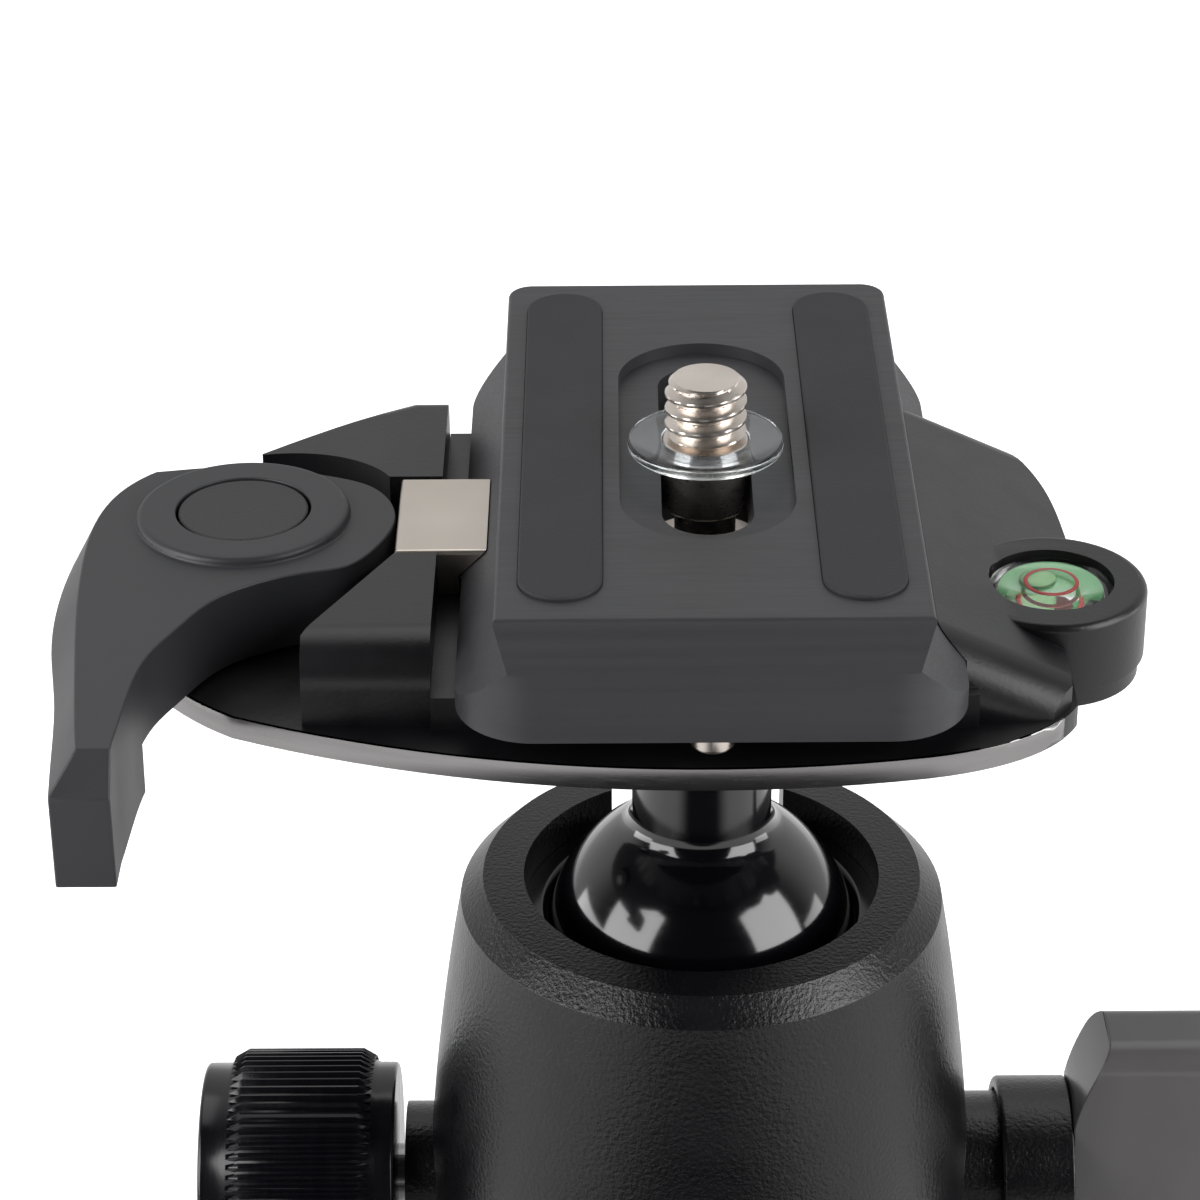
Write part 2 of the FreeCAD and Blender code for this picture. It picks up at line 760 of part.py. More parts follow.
def left_posts():
    """The two posts that the clamp block runs between, on the lever's side."""
    inner = clamp_half_width + open_gap
    heights = (floor_height, jaw_height)
    front = block((-post_left_side, -post_right_side), (-block_wall_front, -inner), heights)
    front = rounded(front, block_wall_round,
                    lambda p: abs(p.y + block_wall_front) < face_gap and abs(p.z - jaw_height) < face_gap)
    plan = upright([(-post_cut_x, -inner), (-post_right_side, -inner), (-post_right_side, -block_wall_front),
                    (-post_left_side, -block_wall_front), (-post_left_side, -post_cut_y)],
                   *heights)
    front = front.common(plan)
    back = upright([(-post_right_side, inner), (-post_right_side, block_wall_front),
                    (-post_back_flat_x, block_wall_front), (-post_back_shoulder_x, post_back_shoulder_y),
                    (-post_back_tip_x, post_back_tip_y), (-post_back_tip_x, inner)],
                   floor_height, jaw_height)
    back = rounded(back, post_back_round,
                   lambda p: p.z > jaw_height - face_gap and p.y > post_back_tip_y - face_gap)
    tip = -post_back_tip_x
    lean = along_y([(-post_slope_start, jaw_height + overcut), (-post_slope_start, jaw_height),
                    (tip, jaw_height - post_slope_drop), (tip, jaw_height + overcut)],
                   0, platform_half_length)
    pocket = disc(lever_pocket_radius, floor_height, jaw_height + overcut, pivot_x, 0)
    return front.cut(pocket), back.cut(lean).cut(pocket)


def right_housing():
    """The fixed jaw and the sloping shoulder next to the bubble level."""
    wall = plate_base_half_width + clamp_face_gap
    bevel_top = clamp_bevel_sum - jaw_height
    reach = right_back_side_x + overcut
    body = along_y([(wall, floor_height), (wall, plate_lip_top), (bevel_top, jaw_height),
                    (reach, jaw_height - right_slope_rate * (reach - bevel_top)), (reach, floor_height)],
                   -block_wall_front, block_wall_front)
    body = rounded(body, right_round,
                   lambda p: abs(abs(p.y) - block_wall_front) < face_gap
                   and abs(p.z - jaw_height + right_slope_rate * (p.x - bevel_top)) < face_gap)
    back = right_back_curve()
    front = (right_front_x, -block_wall_front)
    side = (right_side_x, -right_front_y)
    edges = [line((0, -block_wall_front), front), line(front, side), line(side, (right_side_x, lug_y)),
             line((right_side_x, lug_y), back[0]), curve(back), line(back[-1], (0, block_wall_front)),
             line((0, block_wall_front), (0, -block_wall_front))]
    plan = Part.Face(Part.Wire(edges)).extrude(Vec(0, 0, jaw_height))
    return body.common(plan)


def level_lug():
    bottom = floor_height - platform_edge
    body = disc(lug_radius, bottom, lug_height, lug_x, lug_y)
    body = rounded(body, lug_round, lambda p: abs(p.z - lug_height) < face_gap)
    return body.fuse(disc(lug_radius - lug_foot_inset, bottom - lug_foot, bottom + overcut, lug_x, lug_y))


def platform_body():
    slab = platform_outline().extrude(Vec(0, 0, platform_edge))
    slab.translate(Vec(0, 0, floor_height - platform_edge))
    under = turned([(0, platform_hub_height), (platform_hub_radius, platform_hub_height),
                    (platform_neck_radius, platform_neck_height),
                    (platform_cone_radius, floor_height - platform_edge),
                    (platform_cone_radius, floor_height), (0, floor_height)])
    pad = block((-post_right_side, plate_base_half_width + overcut),
                (-seat_pad_half_length, seat_pad_half_length), (floor_height, seat_pad_height))
    front, back = left_posts()
    pivot_boss = disc(pivot_boss_radius, floor_height - pivot_boss_height, floor_height, pivot_x, 0)
    body = slab.fuse([under, pad, front, back, right_housing(), level_lug(), pivot_boss]).removeSplitter()
    side = clamp_half_width + open_gap
    channel = block((pivot_x, clamp_right - spring_pocket_depth + spring_length), (-side, side),
                    (floor_height, jaw_height))
    grooves = block((clamp_left - clamp_travel - open_gap, clamp_right + open_gap),
                    (-side - clamp_tongue, side + clamp_tongue),
                    (floor_height, lever_bottom + clamp_tongue_height + open_gap))
    level_hole = disc(level_radius, lug_height - level_depth, lug_height + overcut, lug_x, lug_y)
    spigot_hole = disc(stem_spigot_radius + running_gap, platform_hub_height - overcut,
                       stem_top + stem_spigot_length + open_gap)
    screw_seat = floor_height - platform_screw_head_height
    screw_hole = disc(platform_screw_radius + running_gap, platform_hub_height, screw_seat + overcut)
    head_hole = disc(platform_screw_head_radius + slide_gap, screw_seat, seat_pad_height + overcut)
    pivot_hole = disc(pivot_thread_radius + face_gap / 2, floor_height - pivot_boss_height - overcut,
                      floor_height + overcut, pivot_x, 0)
    for hole in (channel, grooves, level_hole, spigot_hole, screw_hole, head_hole, pivot_hole):
        body = body.cut(hole)
    return body.removeSplitter()


def platform_screw():
    bottom = floor_height - platform_screw_head_height + face_gap
    head = disc(platform_screw_head_radius, bottom, bottom + platform_screw_head_height)
    socket = bottom + platform_screw_head_height - platform_screw_hex_depth
    head = head.cut(hexagon(platform_screw_hex, socket, bottom + 2 * platform_screw_head_height))
    return head.fuse(disc(platform_screw_radius, bottom - platform_screw_length, bottom)).removeSplitter()


# Bubble level

def level_vial():
    bottom = lug_height - level_depth + face_gap
    outer = level_radius - face_gap
    straight = lug_height - vial_crown + vial_rise
    crown_rise = vial_crown
    dome = (outer ** 2 + crown_rise ** 2) / (2 * crown_rise)
    body = disc(outer, bottom, straight)
    cap = Part.makeSphere(dome, Vec(0, 0, straight + crown_rise - dome))
    cap = cap.common(disc(outer, straight, straight + vial_sphere_room))
    body = body.fuse(cap).removeSplitter()
    room = disc(outer - vial_wall, bottom + vial_foot, bottom + vial_foot + fluid_height)
    body = body.cut(room)
    body.translate(Vec(lug_x, lug_y, 0))
    return body


def level_fluid():
    bottom = lug_height - level_depth + face_gap + vial_foot
    outer = level_radius - face_gap - vial_wall
    return disc(outer - face_gap, bottom + face_gap, bottom + fluid_height - face_gap, lug_x, lug_y)


# Clamp lever and block

def lever_wire(outer_edge, height):
    """The lever's plan at one height: a cam towards the block and an arm that narrows to the tip."""
    def place(point):
        return Vec(pivot_x + point[0] * cam_radius, point[1] * cam_radius, height)

    inner = [place(point) for point in lever_inner_edge]
    outer = [place(point) for point in outer_edge]
    tip = place(lever_tip)
    edges = []
    for points in (inner, outer):
        spline = Part.BSplineCurve()
        spline.interpolate(points)
        edges.append(spline.toShape())
    return Part.Wire([edges[0], Part.makeLine(inner[-1], tip), Part.makeLine(tip, outer[0]), edges[1],
                      Part.makeLine(outer[-1], inner[0])])


def lever_arm():
    """The arm: upright below, with its outer side leaning in above the ridge."""
    foot = lever_wire(lever_outer_edge, lever_bottom)
    lower = Part.Face(foot).extrude(Vec(0, 0, lever_bevel_foot - lever_bottom))
    upper = Part.makeLoft([lever_wire(lever_outer_edge, lever_bevel_foot),
                           lever_wire(lever_upper_edge, lever_top)], True, True)
    paddle = Part.Face(lever_wire(lever_outer_edge, paddle_foot)).extrude(Vec(0, 0, paddle_hang + overcut))
    tip_y = lever_tip[1] * cam_radius
    paddle = paddle.common(block((pivot_x - 2 * cam_radius, pivot_x), (tip_y - overcut, paddle_back_y),
                                 (paddle_foot, lever_top)))
    return lower.fuse([upper, paddle]).removeSplitter()


def lever_tip_slope():
    """What is cut off above the tip."""
    tip_y = lever_tip[1] * cam_radius
    steep = paddle_slope_drop / (paddle_slope_start_y - tip_y)
    low = lever_top - steep * (paddle_slope_start_y - tip_y + overcut)
    high = lever_top + overcut
    corners = [Vec(0, tip_y - overcut, low), Vec(0, paddle_slope_start_y + overcut / steep, high),
               Vec(0, tip_y - overcut, high)]
    return Part.Face(Part.makePolygon(corners + corners[:1])).extrude(Vec(2 * pivot_x, 0, 0))


def clamp_lever():
    body = lever_arm().cut(lever_tip_slope())
    boss = disc(lever_boss_radius, lever_top - overcut, lever_boss_top, pivot_x, 0)
    boss = rounded(boss, lever_boss_round, lambda p: p.z > lever_boss_top - face_gap)
    body = body.fuse(boss)
    body = body.cut(disc(pivot_radius + running_gap, paddle_foot, lever_boss_top + overcut, pivot_x, 0))
    recess = lever_boss_top - lever_cap_drop - lever_cap_height - pivot_head_height - 2 * face_gap
    return body.cut(disc(lever_cap_radius + lever_cap_groove, recess, lever_boss_top + overcut, pivot_x, 0))


def lever_cap():
    top = lever_boss_top - lever_cap_drop
    return disc(lever_cap_radius, top - lever_cap_height, top, pivot_x, 0)


def lever_pivot():
    top = lever_boss_top - lever_cap_drop - lever_cap_height - face_gap
    head = disc(pivot_head_radius, top - pivot_head_height, top, pivot_x, 0)
    shank = disc(pivot_radius, floor_height + face_gap, top, pivot_x, 0)
    thread = disc(pivot_thread_radius, floor_height - pivot_boss_height, top, pivot_x, 0)
    return head.fuse([shank, thread]).removeSplitter()


def clamp_block():
    """The nickel block: its slanted right face presses on the plate's edge."""
    bottom = lever_bottom
    points = [(clamp_left, bottom), (clamp_right, bottom), (clamp_right, clamp_bevel_sum + clamp_right),
              (jaw_height - clamp_bevel_sum, jaw_height), (clamp_left, jaw_height)]
    body = along_y(points, -clamp_half_width, clamp_half_width)
    body = rounded(body, clamp_edge_round,
                   lambda p: abs(p.z - jaw_height) < face_gap
                   and (abs(p.x - clamp_left) < face_gap or abs(abs(p.y) - clamp_half_width) < face_gap))
    reach = clamp_half_width + clamp_tongue
    tongue = block((clamp_left, clamp_right), (-reach, reach), (bottom, bottom + clamp_tongue_height))
    body = body.fuse(tongue)
    for side in (-1, 1):
        pocket = bar_x(spring_radius + slide_gap, clamp_right - spring_pocket_depth, clamp_right + overcut,
                       bottom + spring_rise)
        pocket.translate(Vec(0, side * spring_place, 0))
        body = body.cut(pocket)
    return body.removeSplitter()


def block_springs():
    start = clamp_right - spring_pocket_depth + face_gap
    end = start + spring_length - 2 * face_gap
    tubes = []
    height = lever_bottom + spring_rise
    for side in (-1, 1):
        tube = bar_x(spring_radius, start, end, height)
        tube = tube.cut(bar_x(spring_bore_radius, start - overcut, end + overcut, height))
        tube.translate(Vec(0, side * spring_place, 0))
        tubes.append(tube)
    return Part.makeCompound(tubes)


# Plate and camera screw

def release_plate():
    top, neck, base = plate_top_half_width, plate_neck_half_width, plate_base_half_width
    half = plate_length / 2
    near, far = plate_shift - half, plate_shift + half
    upper = along_y([(-top, plate_top), (-neck, plate_neck), (neck, plate_neck), (top, plate_top)], near, far)
    upper = rounded(upper, plate_far_round,
                    lambda p: abs(p.y - far) < face_gap and neck - face_gap < abs(p.x) < top + face_gap)
    upper = rounded(upper, plate_top_round, lambda p: abs(p.z - plate_top) < face_gap)
    lower = along_y([(-neck, plate_neck), (-base, plate_lip_top), (-base, plate_bottom),
                     (base, plate_bottom), (base, plate_lip_top), (neck, plate_neck)], near, far)
    lower = lower.common(rounded_slab(base, plate_length, plate_base_round, plate_bottom - overcut,
                                      plate_neck + overcut, plate_shift))
    body = upper.fuse(lower).removeSplitter()
    body = body.cut(stadium(plate_recess_radius, plate_recess_length, recess_floor, plate_top + overcut,
                            0, plate_shift))
    body = body.cut(stadium(plate_slot_half_width, plate_slot_length, plate_bottom - overcut,
                            plate_top + overcut, 0, plate_shift))
    body = body.cut(stadium(plate_head_half_width, plate_head_length, plate_bottom - overcut,
                            plate_bottom + plate_head_depth, 0, plate_shift))
    for side in (-1, 1):
        body = body.cut(stadium(grip_width / 2 + face_gap, grip_length + 2 * face_gap, plate_top - grip_sink,
                                plate_top + overcut, side * grip_place, plate_shift))
        hole_y = plate_shift + side * (half - stop_pin_inset)
        body = body.cut(disc(stop_pin_thread_radius + face_gap / 2, plate_bottom - overcut,
                             plate_bottom + stop_pin_thread_length + open_gap, 0, hole_y))
    return body


def plate_grip(side):
    return stadium(grip_width / 2, grip_length, plate_top - grip_sink + face_gap / 2, plate_top + grip_rise,
                   side * grip_place, plate_shift)


def stop_pins():
    pins = []
    for side in (-1, 1):
        y = plate_shift + side * (plate_length / 2 - stop_pin_inset)
        head = disc(stop_pin_radius, plate_bottom - stop_pin_hang, plate_bottom - face_gap, 0, y)
        head = rounded(head, stop_pin_round, lambda p: p.z < plate_bottom - stop_pin_hang + face_gap)
        stud_end = plate_bottom + stop_pin_thread_length
        stud = disc(stop_pin_thread_radius, plate_bottom - 2 * face_gap, stud_end, 0, y)
        pins.append(head.fuse(stud))
    return Part.makeCompound(pins)


def camera_screw():
    top = shank_top + thread_length
    head_top = plate_bottom + plate_head_depth - open_gap
    head_bottom = head_top - screw_head_height
    body = turned([(0, head_bottom), (screw_head_radius, head_bottom), (screw_head_radius, head_top),
                   (screw_neck_radius, head_top), (screw_neck_radius, shank_top - shank_length),
                   (shank_radius, shank_top - shank_length), (shank_radius, shank_top),
                   (thread_radius, shank_top), (thread_radius, top - thread_tip_chamfer),
                   (thread_radius - thread_tip_chamfer, top), (0, top)])
    slot = block((-screw_head_radius - overcut, screw_head_radius + overcut),
                 (-screw_head_slot / 2, screw_head_slot / 2),
                 (head_bottom - overcut, head_bottom + screw_head_slot_depth))
    body = body.cut(slot)
    body.translate(Vec(0, screw_rest_y, 0))
    return body


def screw_washer():
    ring = disc(washer_radius, washer_bottom, washer_bottom + washer_height, 0, screw_rest_y)
    return ring.cut(disc(shank_radius + running_gap, washer_bottom - overcut, shank_top + overcut,
                         0, screw_rest_y))


save("pan_base", pan_base())
save("tripod_bush", tripod_bush())
save("bearing_washer", bearing_washer())
save("keeper_plate", keeper_plate())
save("pan_bolt", pan_bolt())
save("barrel", barrel())
save("retaining_ring", retaining_ring())
save("ball_stem", ball_stem())
save("friction_pad", friction_pad())
save("pressure_cup", pressure_cup())
save("lock_plunger", lock_plunger())
save("lock_screw", lock_screw())
save("lock_sleeve", lock_sleeve())
save("lock_wing", lock_wing())
save("drag_plunger", drag_plunger())
save("drag_screw", drag_screw())
save("drag_knob", drag_knob())
save("drag_knob_cap", drag_knob_cap())
save("pan_shoe", pan_shoe())
save("pan_screw", pan_screw())
save("pan_knob", pan_knob())
save("platform_body", platform_body())
save("platform_screw", platform_screw())
save("level_vial", level_vial())
save("level_fluid", level_fluid())
save("clamp_lever", clamp_lever())
save("lever_cap", lever_cap())
save("lever_pivot", lever_pivot())
save("clamp_block", clamp_block())
save("block_springs", block_springs())
save("release_plate", release_plate())
save("grip_left", plate_grip(-1))
save("grip_right", plate_grip(1))
save("stop_pins", stop_pins())
save("camera_screw", camera_screw())
save("screw_washer", screw_washer())
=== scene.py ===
"""A tripod ball head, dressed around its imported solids.

Sizes in the classes are millimetres in the part's own frame. Meshes are made in metres.
"""

import logging
import math
from dataclasses import dataclass
from enum import Enum
from typing import Iterable, Sequence

import bmesh
import bpy
from bmesh.types import BMesh, BMVert
from bpy.types import Material, Mesh, Node, NodeSocket, NodeTree, Object
from mathutils import Matrix, Vector


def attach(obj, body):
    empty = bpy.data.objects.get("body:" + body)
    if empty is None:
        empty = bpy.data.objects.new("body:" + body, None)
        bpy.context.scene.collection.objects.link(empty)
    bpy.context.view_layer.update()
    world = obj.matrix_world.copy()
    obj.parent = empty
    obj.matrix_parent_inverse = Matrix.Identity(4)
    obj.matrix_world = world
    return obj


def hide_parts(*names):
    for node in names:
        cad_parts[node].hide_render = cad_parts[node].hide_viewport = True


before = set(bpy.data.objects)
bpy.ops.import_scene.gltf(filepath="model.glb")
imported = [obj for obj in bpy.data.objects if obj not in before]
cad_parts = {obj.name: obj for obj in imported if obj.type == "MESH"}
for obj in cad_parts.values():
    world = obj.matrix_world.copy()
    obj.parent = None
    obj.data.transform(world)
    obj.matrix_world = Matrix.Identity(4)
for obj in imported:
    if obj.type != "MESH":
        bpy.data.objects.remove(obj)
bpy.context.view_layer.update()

LOG = logging.getLogger("ball_head")
MM = 0.001
SMOOTH_ANGLE = math.radians(32)
WELD = 2e-6

Point2 = tuple[float, float]
Point3 = tuple[float, float, float]
Colour = tuple[float, float, float]
Amount = float | NodeSocket

NOISE_ROUGHNESS = 0.55
FINE_FACTOR = 3.1
BROAD_FACTOR = 0.08
STROKE_FACTOR = 0.12
TONE_SPAN = (0.32, 0.68)
GLOSS_SPAN = (0.3, 0.7)
FLAT_ANGLE = math.radians(0.4)
BEVELLED_ANGLE = math.radians(50)
SHADE_WEIGHT = 80
TURNED_STEPS = 96
CAP_EDGE = 0.1


class Body(str, Enum):
    """The moving bodies that a piece can ride on."""

    BASE = "base"
    BARREL = "barrel"
    BALL = "ball"
    PLATFORM = "platform"
    LEVER = "lever"
    BLOCK = "clamp_block"
    PLATE = "plate"
    WASHER = "washer"
    CAMERA_SCREW = "camera_screw"
    LOCK_WING = "lock_wing"
    DRAG_KNOB = "drag_knob"
    PAN_KNOB = "pan_knob"


class Slot(str, Enum):
    """The material slots of the part's record."""

    POWDER = "black_powder"
    ANODISED = "black_anodised"
    CASTING = "black_casting"
    PLATE = "grey_anodised"
    ALUMINIUM = "aluminium"
    STEEL = "steel"
    NICKEL = "nickel"
    NYLON = "nylon"
    PLASTIC = "black_plastic"
    RUBBER = "rubber"
    CLEAR = "clear_acrylic"
    FLUID = "green_fluid"


# Shader node groups

class PatternLibrary:
    """Surface patterns that several finishes share, each built once as a node group."""

    _groups: dict[str, NodeTree] = {}

    @classmethod
    def _start(cls, name: str, inputs: dict[str, float | str], outputs: Sequence[str]) -> NodeTree:
        """Makes an empty group with its sockets.

        Args:
            name: The group's name.
            inputs: Socket name to default value, or to "vector".
            outputs: Names of the float outputs.

        Returns:
            The new group.
        """
        tree = bpy.data.node_groups.new(name, "ShaderNodeTree")
        for label, value in inputs.items():
            if value == "vector":
                tree.interface.new_socket(label, in_out="INPUT", socket_type="NodeSocketVector")
            else:
                socket = tree.interface.new_socket(label, in_out="INPUT", socket_type="NodeSocketFloat")
                socket.default_value = value
        for label in outputs:
            tree.interface.new_socket(label, in_out="OUTPUT", socket_type="NodeSocketFloat")
        cls._groups[name] = tree
        return tree

    @staticmethod
    def _noise(tree: NodeTree, vector: NodeSocket, size: NodeSocket,
               detail: float, factor: float = 1.0) -> NodeSocket:
        """Adds a noise texture whose grains are about as large as a size in metres."""
        scale = tree.nodes.new("ShaderNodeMath")
        scale.operation = "DIVIDE"
        scale.inputs[0].default_value = factor
        tree.links.new(size, scale.inputs[1])
        noise = tree.nodes.new("ShaderNodeTexNoise")
        noise.inputs["Detail"].default_value = detail
        noise.inputs["Roughness"].default_value = NOISE_ROUGHNESS
        tree.links.new(vector, noise.inputs["Vector"])
        tree.links.new(scale.outputs[0], noise.inputs["Scale"])
        return noise.outputs["Fac"]

    @staticmethod
    def _math(tree: NodeTree, operation: str, first: Amount,
              second: Amount) -> NodeSocket:
        """Adds a math node; either value may be a socket or a number."""
        node = tree.nodes.new("ShaderNodeMath")
        node.operation = operation
        for socket, value in zip(node.inputs, (first, second)):
            if isinstance(value, (int, float)):
                socket.default_value = value
            else:
                tree.links.new(value, socket)
        return node.outputs[0]

    @classmethod
    def peel(cls) -> NodeTree:
        """Orange-peel height: soft lumps with a finer crinkle on them."""
        if "Orange Peel" in cls._groups:
            return cls._groups["Orange Peel"]
        tree = cls._start("Orange Peel", {"Vector": "vector", "Size": 0.001, "Crinkle": 0.35},
                          ("Height", "Mask"))
        source = tree.nodes.new("NodeGroupInput")
        sink = tree.nodes.new("NodeGroupOutput")
        broad = cls._noise(tree, source.outputs["Vector"], source.outputs["Size"], 1.0)
        fine = cls._noise(tree, source.outputs["Vector"], source.outputs["Size"], 2.0, FINE_FACTOR)
        crinkle = cls._math(tree, "MULTIPLY", fine, source.outputs["Crinkle"])
        tree.links.new(cls._math(tree, "ADD", broad, crinkle), sink.inputs["Height"])
        wide = cls._noise(tree, source.outputs["Vector"], source.outputs["Size"], 2.0, BROAD_FACTOR)
        tree.links.new(wide, sink.inputs["Mask"])
        return tree

    @classmethod
    def grain(cls) -> NodeTree:
        """Fine sharp grain, with a broad mask for uneven tone."""
        if "Fine Grain" in cls._groups:
            return cls._groups["Fine Grain"]
        tree = cls._start("Fine Grain", {"Vector": "vector", "Size": 0.0004, "Patch": 0.012},
                          ("Height", "Mask"))
        source = tree.nodes.new("NodeGroupInput")
        sink = tree.nodes.new("NodeGroupOutput")
        for size, result in (("Size", "Height"), ("Patch", "Mask")):
            grains = cls._noise(tree, source.outputs["Vector"], source.outputs[size], 3.0)
            tree.links.new(grains, sink.inputs[result])
        return tree

    @classmethod
    def brushed(cls) -> NodeTree:
        """Fine straight strokes; the Stretch vector is long across the strokes."""
        if "Brushed Lines" in cls._groups:
            return cls._groups["Brushed Lines"]
        tree = cls._start("Brushed Lines", {"Vector": "vector", "Stretch": "vector", "Size": 0.0002},
                          ("Height", "Mask"))
        source = tree.nodes.new("NodeGroupInput")
        sink = tree.nodes.new("NodeGroupOutput")
        stretch = tree.nodes.new("ShaderNodeVectorMath")
        stretch.operation = "MULTIPLY"
        tree.links.new(source.outputs["Vector"], stretch.inputs[0])
        tree.links.new(source.outputs["Stretch"], stretch.inputs[1])
        strokes = cls._noise(tree, stretch.outputs[0], source.outputs["Size"], 3.0)
        wide = cls._noise(tree, stretch.outputs[0], source.outputs["Size"], 2.0, STROKE_FACTOR)
        tree.links.new(strokes, sink.inputs["Height"])
        tree.links.new(wide, sink.inputs["Mask"])
        return tree


class MaterialDraft:
    """One node material while it is being wired."""

    def __init__(self, name: str) -> None:
        """Starts the material with a Principled shader and Object coordinates."""
        self.material = bpy.data.materials.new(name)
        self.material.use_nodes = True
        self.tree = self.material.node_tree
        self.tree.nodes.clear()
        output = self.add("ShaderNodeOutputMaterial")
        self.shader = self.add("ShaderNodeBsdfPrincipled")
        self.wire(self.shader.outputs[0], output.inputs[0])
        self.coords = self.add("ShaderNodeTexCoord").outputs["Object"]

    def add(self, kind: str) -> Node:
        """Adds a node of a kind."""
        return self.tree.nodes.new(kind)

    def wire(self, source: NodeSocket, target: NodeSocket) -> None:
        """Links two sockets."""
        self.tree.links.new(source, target)

    def set(self, **values: float | Colour) -> None:
        """Sets sockets of the shader by name, with underscores for spaces."""
        for label, value in values.items():
            socket = self.shader.inputs[label.replace("_", " ")]
            socket.default_value = (*value, 1.0) if isinstance(value, tuple) else value

    def pattern(self, group: NodeTree, **values: float | Point3) -> Node:
        """Places a pattern group on Object coordinates.

        Args:
            group: The node group.
            **values: Values of its inputs.

        Returns:
            The group node.
        """
        node = self.add("ShaderNodeGroup")
        node.node_tree = group
        self.wire(self.coords, node.inputs["Vector"])
        for label, value in values.items():
            node.inputs[label].default_value = value
        return node

    def bump(self, height: NodeSocket, distance: float, strength: float = 1.0,
             under: NodeSocket | None = None) -> NodeSocket:
        """Feeds a height into the shader's normal.

        Args:
            height: The height, 0 to 1.
            distance: Depth of the relief in millimetres.
            strength: Share of the relief that shows.
            under: A normal to lie on.

        Returns:
            The bumped normal.
        """
        node = self.add("ShaderNodeBump")
        node.inputs["Distance"].default_value = distance * MM
        node.inputs["Strength"].default_value = strength
        self.wire(height, node.inputs["Height"])
        if under is not None:
            self.wire(under, node.inputs["Normal"])
        self.wire(node.outputs[0], self.shader.inputs["Normal"])
        return node.outputs[0]

    def blend_colour(self, mask: NodeSocket, dark: Colour, light: Colour) -> None:
        """Mixes the base colour between two tones by a mask."""
        ramp = self.add("ShaderNodeValToRGB")
        for element, position, tone in zip(ramp.color_ramp.elements, TONE_SPAN, (dark, light)):
            element.position = position
            element.color = (*tone, 1.0)
        self.wire(mask, ramp.inputs[0])
        self.wire(ramp.outputs[0], self.shader.inputs["Base Color"])

    def blend_roughness(self, mask: NodeSocket, low: float, high: float) -> None:
        """Varies the roughness between two values by a mask."""
        span = self.add("ShaderNodeMapRange")
        for label, value in zip(("From Min", "From Max", "To Min", "To Max"), (*GLOSS_SPAN, low, high)):
            span.inputs[label].default_value = value
        self.wire(mask, span.inputs["Value"])
        self.wire(span.outputs[0], self.shader.inputs["Roughness"])


# Finishes

@dataclass(frozen=True)
class Finish:
    """A surface finish: tone, gloss and relief."""

    name: str
    slot: Slot
    dark: Colour
    light: Colour
    rough_low: float
    rough_high: float
    relief: float = 0.0
    size: float = 1.0
    metallic: float = 0.0

    def build(self) -> Material:
        """Gives the finish's material, made on first use."""
        known = bpy.data.materials.get(self.name)
        if known is not None:
            return known
        draft = MaterialDraft(self.name)
        draft.set(Metallic=self.metallic)
        self.texture(draft)
        draft.material.diffuse_color = (*self.light, 1.0)
        return draft.material

    def texture(self, draft: MaterialDraft) -> None:
        """Wires the finish's own pattern: fine grain unless a finish says otherwise."""
        grain = draft.pattern(PatternLibrary.grain(), Size=self.size * MM)
        draft.blend_colour(grain.outputs["Mask"], self.dark, self.light)
        draft.blend_roughness(grain.outputs["Mask"], self.rough_low, self.rough_high)
        if self.relief:
            draft.bump(grain.outputs["Height"], self.relief)


@dataclass(frozen=True)
class PowderCoat(Finish):
    """A baked powder coat with an orange-peel relief."""

    crinkle: float = 0.35

    def texture(self, draft: MaterialDraft) -> None:
        """Wires the orange peel and a slight change of gloss."""
        peel = draft.pattern(PatternLibrary.peel(), Size=self.size * MM, Crinkle=self.crinkle)
        draft.blend_colour(peel.outputs["Mask"], self.dark, self.light)
        draft.blend_roughness(peel.outputs["Mask"], self.rough_low, self.rough_high)
        draft.bump(peel.outputs["Height"], self.relief)


@dataclass(frozen=True)
class Brushed(Finish):
    """A metal or coat with straight strokes."""

    stretch: Point3 = (0.03, 1.0, 1.0)

    def texture(self, draft: MaterialDraft) -> None:
        """Wires the strokes into tone, gloss and relief."""
        lines = draft.pattern(PatternLibrary.brushed(), Stretch=self.stretch, Size=self.size * MM)
        draft.blend_colour(lines.outputs["Mask"], self.dark, self.light)
        draft.blend_roughness(lines.outputs["Height"], self.rough_low, self.rough_high)
        draft.bump(lines.outputs["Height"], self.relief)


@dataclass(frozen=True)
class Lacquer(Brushed):
    """A black anodised metal under a hard clear gloss."""

    coat: float = 1.0
    coat_ior: float = 1.4

    def texture(self, draft: MaterialDraft) -> None:
        """Adds the clear gloss to the strokes."""
        draft.set(Coat_Weight=self.coat, Coat_IOR=self.coat_ior, Coat_Roughness=self.rough_low)
        super().texture(draft)


@dataclass(frozen=True)
class Clear(Finish):
    """A clear or tinted see-through plastic or fluid."""

    ior: float = 1.47

    def texture(self, draft: MaterialDraft) -> None:
        """Sets plain transmission and wires a faint change of gloss."""
        draft.set(Transmission_Weight=1.0, IOR=self.ior)
        grain = draft.pattern(PatternLibrary.grain(), Size=self.size * MM)
        draft.blend_colour(grain.outputs["Mask"], self.dark, self.light)
        draft.blend_roughness(grain.outputs["Mask"], self.rough_low, self.rough_high)


